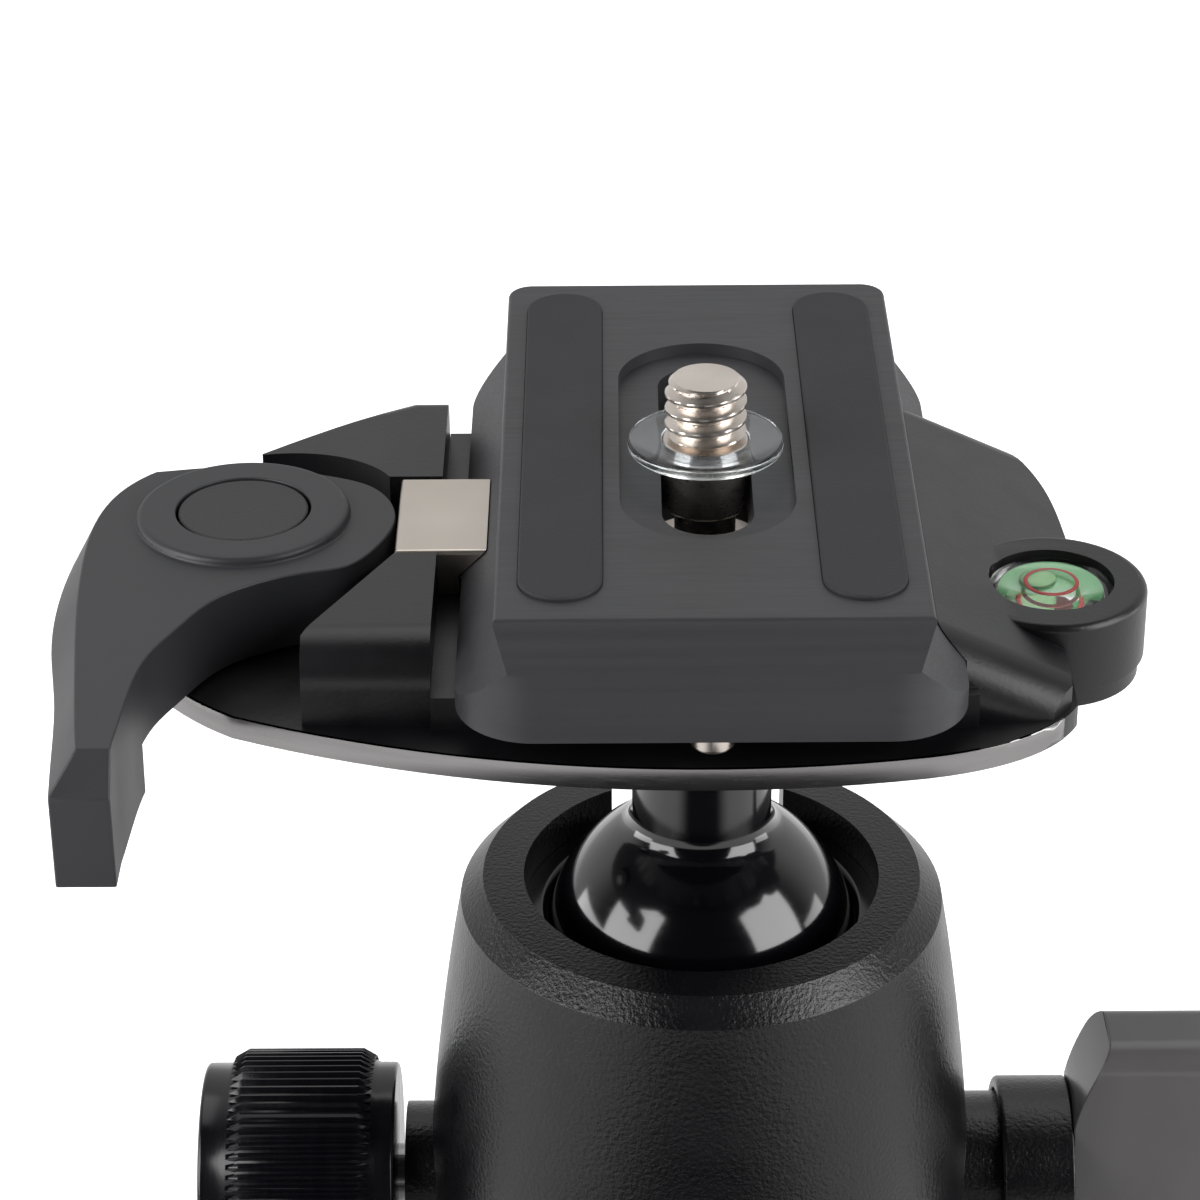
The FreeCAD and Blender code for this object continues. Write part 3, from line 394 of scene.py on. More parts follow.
class Finishes:
    """The finishes of this ball head."""

    powder = PowderCoat("powder_coat", Slot.POWDER, (0.0022, 0.0022, 0.0030), (0.0036, 0.0036, 0.0046),
                        0.26, 0.32, relief=0.05, size=0.36)
    # The wing grip is made far lighter than the black powder coat of its sleeve: a painted reflection of the
    # bright floor on its faces, not the coat's own tone.
    wing_painted_reflection = PowderCoat("wing_painted_reflection_coat", Slot.POWDER, (0.088, 0.084, 0.085), (0.096, 0.092, 0.093),
                       0.22, 0.27, relief=0.001, size=0.5)
    casting = PowderCoat("satin_casting", Slot.CASTING, (0.0045, 0.0045, 0.0055), (0.0065, 0.0065, 0.0078),
                         0.30, 0.38, relief=0.010, size=0.4, crinkle=0.6)
    gloss_black = Lacquer("gloss_black_anodised", Slot.ANODISED, (0.0012, 0.0012, 0.0020),
                          (0.0020, 0.0020, 0.0032), 0.10, 0.15, relief=0.001, size=0.25,
                          stretch=(0.05, 0.05, 1.0))
    knob_black = Brushed("knob_black_anodised", Slot.ANODISED, (0.0025, 0.0025, 0.0040),
                         (0.0045, 0.0045, 0.0065), 0.16, 0.22, relief=0.002, size=0.2,
                         stretch=(1.0, 0.08, 0.08))
    plate = Brushed("plate_anodised", Slot.PLATE, (0.026, 0.026, 0.029), (0.033, 0.033, 0.037),
                    0.40, 0.50, relief=0.006, size=0.14, stretch=(0.025, 0.35, 1.0))
    # A bright metal strip on the black casting's slab edge: a painted highlight, standing in for the edge's
    # reflection of the floor.
    edge_highlight_metal = Brushed("edge_painted_highlight", Slot.ALUMINIUM, (0.27, 0.26, 0.26), (0.33, 0.32, 0.32),
                       0.22, 0.28, relief=0.001, size=0.2, metallic=1.0, stretch=(0.1, 0.1, 1.0))
    rubber = Finish("grip_rubber", Slot.RUBBER, (0.014, 0.013, 0.016), (0.022, 0.021, 0.024),
                    0.60, 0.75, relief=0.045, size=0.22)
    lever = Finish("lever_plastic", Slot.PLASTIC, (0.022, 0.022, 0.025), (0.028, 0.028, 0.031),
                   0.42, 0.50, relief=0.006, size=0.2)
    cap = Finish("cap_textured", Slot.PLASTIC, (0.020, 0.019, 0.020), (0.034, 0.033, 0.034),
                 0.50, 0.62, relief=0.05, size=0.24)
    nickel = Finish("nickel_plate", Slot.NICKEL, (0.60, 0.54, 0.48), (0.66, 0.60, 0.54),
                    0.30, 0.36, relief=0.0012, size=0.3, metallic=1.0)
    bright_nickel = Brushed("turned_nickel", Slot.NICKEL, (0.62, 0.56, 0.51), (0.74, 0.68, 0.62),
                            0.26, 0.34, relief=0.002, size=0.2, metallic=1.0, stretch=(0.2, 0.2, 1.0))
    steel = Brushed("turned_steel", Slot.STEEL, (0.45, 0.45, 0.46), (0.55, 0.55, 0.56),
                    0.25, 0.38, relief=0.003, size=0.25, metallic=1.0)
    aluminium = Brushed("plain_aluminium", Slot.ALUMINIUM, (0.60, 0.60, 0.61), (0.70, 0.70, 0.71),
                        0.28, 0.40, relief=0.003, size=0.25, metallic=1.0)
    nylon = Finish("plain_nylon", Slot.NYLON, (0.62, 0.61, 0.57), (0.70, 0.69, 0.65),
                   0.40, 0.52, relief=0.004, size=0.4)
    black_nylon = Finish("black_nylon", Slot.NYLON, (0.006, 0.006, 0.007), (0.009, 0.009, 0.010),
                         0.14, 0.22, relief=0.001, size=0.4)
    clear = Clear("clear_washer", Slot.CLEAR, (0.88, 0.94, 0.98), (0.93, 0.98, 1.0), 0.05, 0.10)
    vial = Clear("clear_vial", Slot.CLEAR, (0.95, 0.98, 0.95), (0.98, 1.0, 0.98), 0.01, 0.03, ior=1.49)
    fluid = Finish("level_fluid", Slot.FLUID, (0.08, 0.48, 0.13), (0.14, 0.58, 0.19), 0.16, 0.22)
    ring_red = Finish("ring_paint", Slot.PLASTIC, (0.55, 0.02, 0.015), (0.65, 0.03, 0.02), 0.35, 0.45)
    air = Finish("air_bubble", Slot.CLEAR, (0.30, 0.62, 0.28), (0.40, 0.70, 0.36), 0.05, 0.10)
    paint = Finish("scale_paint", Slot.PLASTIC, (0.62, 0.62, 0.60), (0.70, 0.70, 0.68), 0.45, 0.55)


# Meshes

def link_mesh(name: str, mesh: Mesh) -> Object:
    """Puts a mesh into the scene as an object at the origin."""
    piece = bpy.data.objects.new(name, mesh)
    bpy.context.scene.collection.objects.link(piece)
    return piece


def from_bmesh(name: str, bm: BMesh) -> Object:
    """Turns a bmesh into an object with outward, smooth faces.

    Args:
        name: Name of the object.
        bm: The mesh data, freed here.

    Returns:
        The new object.
    """
    bmesh.ops.recalc_face_normals(bm, faces=bm.faces)
    mesh = bpy.data.meshes.new(name)
    bm.to_mesh(mesh)
    bm.free()
    mesh.shade_smooth()
    mesh.set_sharp_from_angle(angle=SMOOTH_ANGLE)
    return link_mesh(name, mesh)


def turned(outline: Sequence[Point2], segments: int = TURNED_STEPS, axis: Point3 = (0, 0, 1),
           centre: Point3 = (0, 0, 0)) -> BMesh:
    """Turns an outline about an axis.

    Args:
        outline: (radius, place along the axis) in millimetres, from one end to the other.
        segments: Steps of the full turn.
        axis: Direction of the axis.
        centre: A point on the axis, from which the places are counted.

    Returns:
        A closed mesh where the outline starts and ends on the axis.
    """
    bm = bmesh.new()
    turn = Vector((0, 0, 1)).rotation_difference(Vector(axis)).to_matrix()
    rings = []
    for radius, along in outline:
        if radius < 1e-6:
            spot = (turn @ Vector((0, 0, along)) + Vector(centre)) * MM
            rings.append([bm.verts.new(spot)])
            continue
        ring = []
        for k in range(segments):
            angle = 2 * math.pi * k / segments
            spot = Vector((radius * math.cos(angle), radius * math.sin(angle), along))
            ring.append(bm.verts.new((turn @ spot + Vector(centre)) * MM))
        rings.append(ring)
    for low, high in zip(rings, rings[1:]):
        for k in range(segments):
            after = (k + 1) % segments
            if len(low) == 1 and len(high) == 1:
                continue
            if len(low) == 1:
                bm.faces.new((low[0], high[after], high[k]))
            elif len(high) == 1:
                bm.faces.new((low[k], low[after], high[0]))
            else:
                bm.faces.new((low[k], low[after], high[after], high[k]))
    return bm


def arc_points(centre: Point2, radius: float, start: float, end: float, steps: int) -> list[Point2]:
    """Points on an arc.

    Args:
        centre: (radius, height) of the arc's centre in millimetres.
        radius: The arc's own radius.
        start: First angle in degrees, 0 outwards and 90 up.
        end: Last angle in degrees.
        steps: Number of stretches.

    Returns:
        The points, ends included.
    """
    points = []
    for k in range(steps + 1):
        angle = math.radians(start + (end - start) * k / steps)
        points.append((centre[0] + radius * math.cos(angle), centre[1] + radius * math.sin(angle)))
    return points


def solid_copy(node: str, name: str) -> Object:
    """Copies a CAD node's mesh, welded and with its flat faces whole.

    Args:
        node: The CAD node.
        name: Name of the copy.

    Returns:
        The copy, an object of its own.
    """
    bm = bmesh.new()
    bm.from_mesh(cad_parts[node].data)
    bmesh.ops.remove_doubles(bm, verts=bm.verts, dist=WELD)
    bmesh.ops.dissolve_limit(bm, angle_limit=FLAT_ANGLE, verts=bm.verts, edges=bm.edges)
    mesh = bpy.data.meshes.new(name)
    bm.to_mesh(mesh)
    bm.free()
    mesh.shade_smooth()
    return link_mesh(name, mesh)


def settle(piece: Object) -> Object:
    """Turns a piece's live modifiers into plain mesh."""
    bpy.context.view_layer.update()
    evaluated = piece.evaluated_get(bpy.context.evaluated_depsgraph_get())
    mesh = bpy.data.meshes.new_from_object(evaluated)
    piece.modifiers.clear()
    piece.data = mesh
    return piece


def eased(piece: Object, width: float, angle: float = 30.0, segments: int = 2) -> Object:
    """Rounds a piece's sharp edges and evens its shading.

    Args:
        piece: The object.
        width: Width of the rounding in millimetres, 0 for none.
        angle: Least edge angle in degrees that is rounded.
        segments: Steps across the rounding.

    Returns:
        The same object, with a plain mesh.
    """
    if width:
        bevel = piece.modifiers.new("edge", "BEVEL")
        bevel.width = width * MM
        bevel.segments = segments
        bevel.limit_method = "ANGLE"
        bevel.angle_limit = math.radians(angle)
        bevel.harden_normals = False
    weighted = piece.modifiers.new("shade", "WEIGHTED_NORMAL")
    weighted.keep_sharp = True
    weighted.weight = SHADE_WEIGHT
    piece.data.set_sharp_from_angle(angle=SMOOTH_ANGLE if not width else BEVELLED_ANGLE)
    return settle(piece)


def place(piece: Object, body: Body, finish: Finish, *nodes: str) -> Object:
    """Dresses a piece and lets it ride on its body.

    Args:
        piece: The object.
        body: The body it moves with.
        finish: Its finish.
        *nodes: CAD nodes that it stands for.

    Returns:
        The same object.
    """
    piece.data.materials.clear()
    piece.data.materials.append(finish.build())
    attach(piece, body.value)
    if nodes:
        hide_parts(*nodes)
    LOG.info("%s: %d faces, on %s", piece.name, len(piece.data.polygons), body.value)
    return piece


def refined(node: str, name: str, width: float, body: Body, finish: Finish,
            segments: int = 2) -> Object:
    """Puts a dressed copy with rounded edges in place of a CAD node.

    Args:
        node: The CAD node.
        name: Name of the copy.
        width: Width of the rounding in millimetres, 0 for none.
        body: The body it moves with.
        finish: Its finish.
        segments: Steps across the rounding.

    Returns:
        The placed copy.
    """
    return place(eased(solid_copy(node, name), width, segments=segments), body, finish, node)


def dress(node: str, finish: Finish) -> None:
    """Gives a CAD node that stays as it is its finish."""
    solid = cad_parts[node]
    solid.data.materials.clear()
    solid.data.materials.append(finish.build())
    LOG.info("%s: kept as built", node)


# Geometry node trees

class Repeater:
    """Node trees for what repeats: a small shape round an axis, and a screw's thread."""

    crest_flat: float = 1.25

    @staticmethod
    def _tree(name: str, sockets: dict[str, tuple[str, float | int]]) -> NodeTree:
        """Starts a geometry tree with named inputs.

        Args:
            name: The tree's name.
            sockets: Input name to its type and default.

        Returns:
            The tree, with a geometry input and output.
        """
        tree = bpy.data.node_groups.new(name, "GeometryNodeTree")
        tree.interface.new_socket("Geometry", in_out="INPUT", socket_type="NodeSocketGeometry")
        for label, (kind, value) in sockets.items():
            socket = tree.interface.new_socket(label, in_out="INPUT", socket_type=kind)
            if value is not None:
                socket.default_value = value
        tree.interface.new_socket("Geometry", in_out="OUTPUT", socket_type="NodeSocketGeometry")
        return tree

    @classmethod
    def round_axis(cls) -> NodeTree:
        """A tree that sets copies of the input shape on a circle, each facing outwards."""
        known = bpy.data.node_groups.get("Repeat Round Axis")
        if known is not None:
            return known
        tree = cls._tree("Repeat Round Axis", {
            "Count": ("NodeSocketInt", 12), "Radius": ("NodeSocketFloat", 0.01),
            "Start": ("NodeSocketFloat", 0.0), "Material": ("NodeSocketMaterial", None)})
        nodes, links = tree.nodes, tree.links
        source, sink = nodes.new("NodeGroupInput"), nodes.new("NodeGroupOutput")
        circle = nodes.new("GeometryNodeMeshCircle")
        spin = nodes.new("GeometryNodeTransform")
        turn = nodes.new("ShaderNodeCombineXYZ")
        copies = nodes.new("GeometryNodeInstanceOnPoints")
        face = nodes.new("FunctionNodeAlignRotationToVector")
        spot = nodes.new("GeometryNodeInputPosition")
        real = nodes.new("GeometryNodeRealizeInstances")
        paint = nodes.new("GeometryNodeSetMaterial")
        face.axis = "X"
        links.new(source.outputs["Count"], circle.inputs["Vertices"])
        links.new(source.outputs["Radius"], circle.inputs["Radius"])
        links.new(source.outputs["Start"], turn.inputs["Z"])
        links.new(circle.outputs["Mesh"], spin.inputs["Geometry"])
        links.new(turn.outputs["Vector"], spin.inputs["Rotation"])
        links.new(spin.outputs["Geometry"], copies.inputs["Points"])
        links.new(source.outputs["Geometry"], copies.inputs["Instance"])
        links.new(spot.outputs["Position"], face.inputs["Vector"])
        links.new(face.outputs["Rotation"], copies.inputs["Rotation"])
        links.new(copies.outputs["Instances"], real.inputs["Geometry"])
        links.new(real.outputs["Geometry"], paint.inputs["Geometry"])
        links.new(source.outputs["Material"], paint.inputs["Material"])
        links.new(paint.outputs["Geometry"], sink.inputs["Geometry"])
        return tree

    @classmethod
    def thread(cls) -> NodeTree:
        """A tree that bends a flat grid round Z into a screw thread, closed at both ends."""
        known = bpy.data.node_groups.get("Screw Thread")
        if known is not None:
            return known
        tree = cls._tree("Screw Thread", {
            "Major": ("NodeSocketFloat", 0.003), "Minor": ("NodeSocketFloat", 0.0025),
            "Pitch": ("NodeSocketFloat", 0.00127), "Length": ("NodeSocketFloat", 0.005),
            "Taper": ("NodeSocketFloat", 0.0007), "Around": ("NodeSocketInt", 72),
            "Along": ("NodeSocketInt", 48), "Material": ("NodeSocketMaterial", None)})
        nodes, links = tree.nodes, tree.links
        source, sink = nodes.new("NodeGroupInput"), nodes.new("NodeGroupOutput")

        def math_node(operation: str, *values: object) -> NodeSocket:
            """A math node on sockets or numbers."""
            node = nodes.new("ShaderNodeMath")
            node.operation = operation
            for socket, value in zip(node.inputs, values):
                if isinstance(value, (int, float)):
                    socket.default_value = value
                else:
                    links.new(value, socket)
            return node.outputs[0]

        grid = nodes.new("GeometryNodeMeshGrid")
        grid.inputs["Size X"].default_value = 1.0
        grid.inputs["Size Y"].default_value = 1.0
        links.new(math_node("ADD", source.outputs["Around"], 1), grid.inputs["Vertices X"])
        links.new(source.outputs["Along"], grid.inputs["Vertices Y"])
        spot, parts = nodes.new("GeometryNodeInputPosition"), nodes.new("ShaderNodeSeparateXYZ")
        links.new(spot.outputs[0], parts.inputs[0])
        share = math_node("ADD", parts.outputs["X"], 0.5)
        height = math_node("MULTIPLY", math_node("ADD", parts.outputs["Y"], 0.5), source.outputs["Length"])
        turns = math_node("DIVIDE", height, source.outputs["Pitch"])
        phase = math_node("FRACT", math_node("SUBTRACT", turns, share))
        swing = math_node("ABSOLUTE", math_node("MULTIPLY_ADD", phase, 2.0, -1.0))
        crest = math_node("SUBTRACT", 1.0, swing)
        crest = math_node("MINIMUM", math_node("MULTIPLY", crest, cls.crest_flat), 1.0)
        rise = math_node("SUBTRACT", source.outputs["Major"], source.outputs["Minor"])
        ridge = math_node("MULTIPLY_ADD", crest, rise, source.outputs["Minor"])
        left_over = math_node("SUBTRACT", source.outputs["Length"], height)
        for end in (left_over, height):
            limit = math_node("MULTIPLY_ADD", math_node("DIVIDE", end, source.outputs["Taper"]), rise,
                              source.outputs["Minor"])
            ridge = math_node("MINIMUM", ridge, limit)
        angle = math_node("MULTIPLY", share, 2 * math.pi)
        bent, shift = nodes.new("ShaderNodeCombineXYZ"), nodes.new("GeometryNodeSetPosition")
        links.new(math_node("MULTIPLY", ridge, math_node("COSINE", angle)), bent.inputs["X"])
        links.new(math_node("MULTIPLY", ridge, math_node("SINE", angle)), bent.inputs["Y"])
        links.new(height, bent.inputs["Z"])
        links.new(grid.outputs["Mesh"], shift.inputs["Geometry"])
        links.new(bent.outputs[0], shift.inputs["Position"])
        whole = nodes.new("GeometryNodeJoinGeometry")
        for level in (0.0, 1.0):
            cap, lift = nodes.new("GeometryNodeMeshCircle"), nodes.new("GeometryNodeTransform")
            cap.fill_type = "NGON"
            place_at = nodes.new("ShaderNodeCombineXYZ")
            links.new(source.outputs["Around"], cap.inputs["Vertices"])
            links.new(source.outputs["Minor"], cap.inputs["Radius"])
            links.new(math_node("MULTIPLY", source.outputs["Length"], level), place_at.inputs["Z"])
            links.new(cap.outputs["Mesh"], lift.inputs["Geometry"])
            links.new(place_at.outputs[0], lift.inputs["Translation"])
            links.new(lift.outputs["Geometry"], whole.inputs["Geometry"])
        links.new(shift.outputs["Geometry"], whole.inputs["Geometry"])
        weld = nodes.new("GeometryNodeMergeByDistance")
        weld.inputs["Distance"].default_value = 2 * WELD
        real, paint = nodes.new("GeometryNodeRealizeInstances"), nodes.new("GeometryNodeSetMaterial")
        links.new(whole.outputs["Geometry"], weld.inputs["Geometry"])
        links.new(weld.outputs["Geometry"], real.inputs["Geometry"])
        links.new(real.outputs["Geometry"], paint.inputs["Geometry"])
        links.new(source.outputs["Material"], paint.inputs["Material"])
        links.new(paint.outputs["Geometry"], sink.inputs["Geometry"])
        return tree

    @staticmethod
    def run(piece: Object, tree: NodeTree, **values: object) -> Object:
        """Runs a tree on a piece and keeps the result as plain mesh.

        Args:
            piece: The object whose mesh goes into the tree.
            tree: The geometry tree.
            **values: Input values by the sockets' names.

        Returns:
            The same object with the tree's result.
        """
        modifier = piece.modifiers.new("repeat", "NODES")
        modifier.node_group = tree
        sockets = {item.name: item.identifier for item in tree.interface.items_tree
                   if item.item_type == "SOCKET" and item.in_out == "INPUT"}
        for label, value in values.items():
            modifier[sockets[label]] = value
        return settle(piece)


def join(name: str, pieces: Iterable[Object]) -> Object:
    """Joins plain pieces into one object.

    Args:
        name: Name of the joined object.
        pieces: The objects, removed here.

    Returns:
        The joined object.
    """
    bm = bmesh.new()
    for piece in pieces:
        bm.from_mesh(piece.data)
        bpy.data.objects.remove(piece)
    return from_bmesh(name, bm)


# Sub-assemblies

@dataclass
class PanBase:
    """The turning base, its tripod bush and what holds the barrel on it."""

    edge: float = 0.25
    mark_radius: float = 24.42
    mark_height: float = 7.75
    mark_lean: float = 26.6
    mark_thickness: float = 0.06
    mark_width: float = 0.32
    short_mark: float = 1.1
    long_mark: float = 1.8
    short_count: int = 72
    long_count: int = 24

    def _marks(self, name: str, count: int, length: float) -> Object:
        """A ring of scale marks on the base's sloping band."""
        bm = bmesh.new()
        bmesh.ops.create_cube(bm, size=1.0)
        bmesh.ops.scale(bm, verts=bm.verts,
                        vec=Vector((self.mark_thickness, self.mark_width, length)) * MM)
        bmesh.ops.rotate(bm, verts=bm.verts, matrix=Matrix.Rotation(-math.radians(self.mark_lean), 3, "Y"))
        mark = from_bmesh(name, bm)
        Repeater.run(mark, Repeater.round_axis(), Count=count, Radius=self.mark_radius * MM,
                     Material=Finishes.paint.build())
        mark.data.transform(Matrix.Translation((0, 0, self.mark_height * MM)))
        return mark

    def build(self) -> None:
        """Builds the base and its scale."""
        refined("pan_base", "base_disc", self.edge, Body.BASE, Finishes.gloss_black)
        short = self._marks("short_marks", self.short_count, self.short_mark)
        long = self._marks("long_marks", self.long_count, self.long_mark)
        place(join("pan_scale_marks", (short, long)), Body.BASE, Finishes.paint)
        for node in ("tripod_bush", "pan_bolt", "keeper_plate"):
            dress(node, Finishes.steel)
        dress("bearing_washer", Finishes.nylon)


@dataclass
class Barrel:
    """The powder-coated barrel, its inner ring and the parts that press on the ball."""

    edge: float = 0.35
    ring_edge: float = 0.12

    def build(self) -> None:
        """Builds the barrel and dresses what it holds."""
        refined("barrel", "barrel_shell", self.edge, Body.BARREL, Finishes.powder)
        refined("retaining_ring", "ball_ring", self.ring_edge, Body.BARREL, Finishes.black_nylon)
        dress("friction_pad", Finishes.nylon)
        dress("pressure_cup", Finishes.aluminium)
        for node in ("lock_plunger", "drag_plunger", "lock_screw", "drag_screw", "pan_screw"):
            dress(node, Finishes.steel)
        dress("pan_shoe", Finishes.nylon)


@dataclass
class BallUnit:
    """The ball with its stem, turned from one bar."""

    centre: float = 54.6
    radius: float = 13.0
    stem_radius: float = 5.75
    fillet: float = 2.4
    stem_top: float = 78.65
    spigot_radius: float = 4.2
    spigot_top: float = 83.65
    hole_radius: float = 2.56
    hole_bottom: float = 73.3
    segments: int = 144

    def build(self) -> None:
        """Turns the ball and stem."""
        reach = self.radius + self.fillet
        across = self.stem_radius + self.fillet
        lift = math.sqrt(reach ** 2 - across ** 2)
        meet = math.degrees(math.atan2(lift, across))
        outline = arc_points((0, self.centre), self.radius, -90, meet, 72)
        outline[0] = (0.0, self.centre - self.radius)
        outline += arc_points((across, self.centre + lift), self.fillet, meet + 180, 180, 10)
        outline += [(self.stem_radius, self.stem_top - 0.2), (self.stem_radius - 0.2, self.stem_top),
                    (self.spigot_radius, self.stem_top), (self.spigot_radius, self.spigot_top),
                    (self.hole_radius, self.spigot_top), (self.hole_radius, self.hole_bottom),
                    (0.0, self.hole_bottom)]
        ball = from_bmesh("ball_and_stem", turned(outline, self.segments))
        place(ball, Body.BALL, Finishes.gloss_black, "ball_stem")


@dataclass
class KnurledKnob:
    """A turned knob whose band carries pointed ridges."""

    name: str
    node: str
    body: Body
    axis: Point3
    height: float
    start: float
    band_start: float
    band_end: float
    end: float
    radius: float
    flange: float
    slope: float
    teeth: int
    depth: float
    bore: float
    bore_depth: float
    dish_radius: float
    dish_depth: float
    edge: float = 0.35
    segments: int = 144
    sink_share: float = 0.4
    crest_share: float = 0.16
    point_share: float = 0.75
    point_width: float = 0.5
    dip_share: float = 0.9

    def _core(self) -> Object:
        """The smooth body under the ridges."""
        low = self.radius - self.depth
        round_steps = 5
        outline = [(0.0, self.start + self.bore_depth), (self.bore, self.start + self.bore_depth),
                   (self.bore, self.start), (self.flange - self.edge, self.start)]
        outline += arc_points((self.flange - self.edge, self.start + self.edge), self.edge, -90, 0,
                              round_steps)[1:]
        outline += [(self.flange, self.band_start - self.slope), (low, self.band_start),
                    (low, self.band_end), (self.flange, self.band_end + self.slope)]
        outline += arc_points((self.flange - self.edge, self.end - self.edge), self.edge, 0, 90, round_steps)
        if self.dish_radius:
            outline += [(self.dish_radius, self.end), (self.dish_radius, self.end - self.dish_depth),
                        (0.0, self.end - self.dish_depth)]
        else:
            outline.append((0.0, self.end))
        return from_bmesh(self.name + "_core",
                          turned(outline, self.segments, self.axis, (0, 0, self.height)))

    def _ridge(self) -> BMesh:
        """One ridge, long along Z and pointed at both ends, its crest towards +X."""
        bm = bmesh.new()
        half = math.pi * (self.radius - self.depth) / self.teeth
        sink = self.depth * self.sink_share
        flat = half * self.crest_share
        low, high = self.band_start, self.band_end
        run = self.slope * self.point_share
        dip = -self.depth * self.dip_share

        def section(z: float, out: float, wide: float) -> list[BMVert]:
            """Four points across the ridge at one height."""
            return [bm.verts.new(Vector(p) * MM) for p in
                    ((-sink, -half * wide, z), (out, -flat * wide, z), (out, flat * wide, z),
                     (-sink, half * wide, z))]

        rows = [section(low - run, dip, self.point_width), section(low, self.depth, 1.0),
                section(high, self.depth, 1.0), section(high + run, dip, self.point_width)]
        for first, second in zip(rows, rows[1:]):
            for k in range(4):
                after = (k + 1) % 4
                bm.faces.new((first[k], first[after], second[after], second[k]))
        bm.faces.new(rows[0])
        bm.faces.new(rows[-1])
        return bm

    def build(self) -> None:
        """Builds the core and sets the ridges round it."""
        ridges = from_bmesh(self.name + "_ridges", self._ridge())
        Repeater.run(ridges, Repeater.round_axis(), Count=self.teeth, Radius=(self.radius - self.depth) * MM,
                     Material=Finishes.knob_black.build())
        turn = Vector((0, 0, 1)).rotation_difference(Vector(self.axis)).to_matrix().to_4x4()
        ridges.data.transform(Matrix.Translation((0, 0, self.height * MM)) @ turn)
        knob = join(self.name, (self._core(), ridges))
        place(knob, self.body, Finishes.knob_black, self.node)


@dataclass
class LockWing:
    """The wing grip of the main lock and the sleeve behind it."""

    edge: float = 0.25

    def build(self) -> None:
        """Builds the wing and its sleeve."""
        # The wing grip's lighter finish is a painted reflection; the sleeve keeps the plain black powder
        # coat.
        refined("lock_wing", "wing_grip", self.edge, Body.LOCK_WING, Finishes.wing_painted_reflection)
        refined("lock_sleeve", "wing_sleeve", self.edge, Body.LOCK_WING, Finishes.powder)


@dataclass
class Platform:
    """The cast platform that carries the clamp."""

    edge: float = 0.4
    slab_bottom: float = 86.4
    slab_top: float = 88.2
    band_thickness: float = 0.3
    band_inwards: float = -0.8
    level_side: float = 27.0
    reach: float = 0.1
    upright: float = 0.1
    outward: float = 0.01

    def _edge_band(self) -> Object:
        """A bright metal strip round the slab's edge, a painted highlight: a thin shell on the casting's own
        faces.
        """
        band = solid_copy("platform_body", "platform_edge_band")
        bm = bmesh.new()
        bm.from_mesh(band.data)
        low, high = (self.slab_bottom - self.reach) * MM, (self.slab_top + self.reach) * MM
        other = []
        for f in bm.faces:
            middle = f.calc_center_median()
            beyond = any(not low < v.co.z < high or v.co.x > self.level_side * MM for v in f.verts)
            inward = f.normal.dot(Vector((middle.x, middle.y, 0))) < self.outward * MM
            if abs(f.normal.z) > self.upright or beyond or inward:
                other.append(f)
        bmesh.ops.delete(bm, geom=other, context="FACES")
        bm.to_mesh(band.data)
        bm.free()
        shell = band.modifiers.new("shell", "SOLIDIFY")
        shell.thickness = self.band_thickness * MM
        shell.offset = self.band_inwards
        return eased(band, 0.0)

    def build(self) -> None:
        """Builds the casting and dresses its screws."""
        refined("platform_body", "platform_casting", self.edge, Body.PLATFORM, Finishes.casting)
        # The edge strip's bright metal is a painted highlight on the black casting.
        place(self._edge_band(), Body.PLATFORM, Finishes.edge_highlight_metal)
        for node in ("platform_screw", "lever_pivot", "block_springs"):
            dress(node, Finishes.steel)


@dataclass
class BubbleLevel:
    """The round level: a clear vial over green fluid, with a red ring and a bubble."""

    x: float = 26.9
    y: float = -6.5
    top: float = 92.2
    ring_radius: float = 1.95
    ring_wire: float = 0.16
    bubble_radius: float = 1.35
    bubble_shift: Point2 = (-0.9, 0.9)
    bubble_flat: float = 0.3
    bubble_drop: float = 1.05
    ring_drop: float = 0.55

    def build(self) -> None:
        """Builds the vial, its ring and its bubble."""
        refined("level_vial", "vial_dome", 0.0, Body.PLATFORM, Finishes.vial)
        dress("level_fluid", Finishes.fluid)
        ring = turned(arc_points((self.ring_radius, 0), self.ring_wire, 0, 360, 10), 48, (0, 0, 1),
                      (self.x, self.y, self.top - self.ring_drop))
        bmesh.ops.remove_doubles(ring, verts=ring.verts, dist=WELD)
        place(from_bmesh("level_ring", ring), Body.PLATFORM, Finishes.ring_red)
        outline = arc_points((0, 0), self.bubble_radius, -90, 90, 20)
        flat = [(max(r, 0.0), z * self.bubble_flat) for r, z in outline]
        flat[0], flat[-1] = (0.0, flat[0][1]), (0.0, flat[-1][1])
        spot = (self.x + self.bubble_shift[0], self.y + self.bubble_shift[1], self.top - self.bubble_drop)
        bubble = turned(flat, 40, (0, 0, 1), spot)
        place(from_bmesh("level_bubble", bubble), Body.PLATFORM, Finishes.air)


@dataclass
class ClampLever:
    """The lever with its cam, its finger paddle and its cap."""

    edge: float = 0.6
    cap_edge: float = 0.15
    block_edge: float = 0.2

    def build(self) -> None:
        """Builds the lever and its cap."""
        refined("clamp_lever", "lever_arm", self.edge, Body.LEVER, Finishes.lever, segments=3)
        refined("lever_cap", "lever_disc", self.cap_edge, Body.LEVER, Finishes.cap)
        refined("clamp_block", "nickel_block", self.block_edge, Body.BLOCK, Finishes.nickel)


@dataclass
class ReleasePlate:
    """The dovetail plate with its grip strips and stop pins."""

    edge: float = 0.45
    grip_edge: float = 0.15
    pin_edge: float = 0.1

    def build(self) -> None:
        """Builds the plate, strips and pins."""
        refined("release_plate", "dovetail_plate", self.edge, Body.PLATE, Finishes.plate)
        for side in ("left", "right"):
            strip = eased(solid_copy("grip_" + side, "grip_strip_" + side), self.grip_edge)
            place(strip, Body.PLATE, Finishes.rubber, "grip_" + side)
        refined("stop_pins", "plate_pins", self.pin_edge, Body.PLATE, Finishes.bright_nickel)


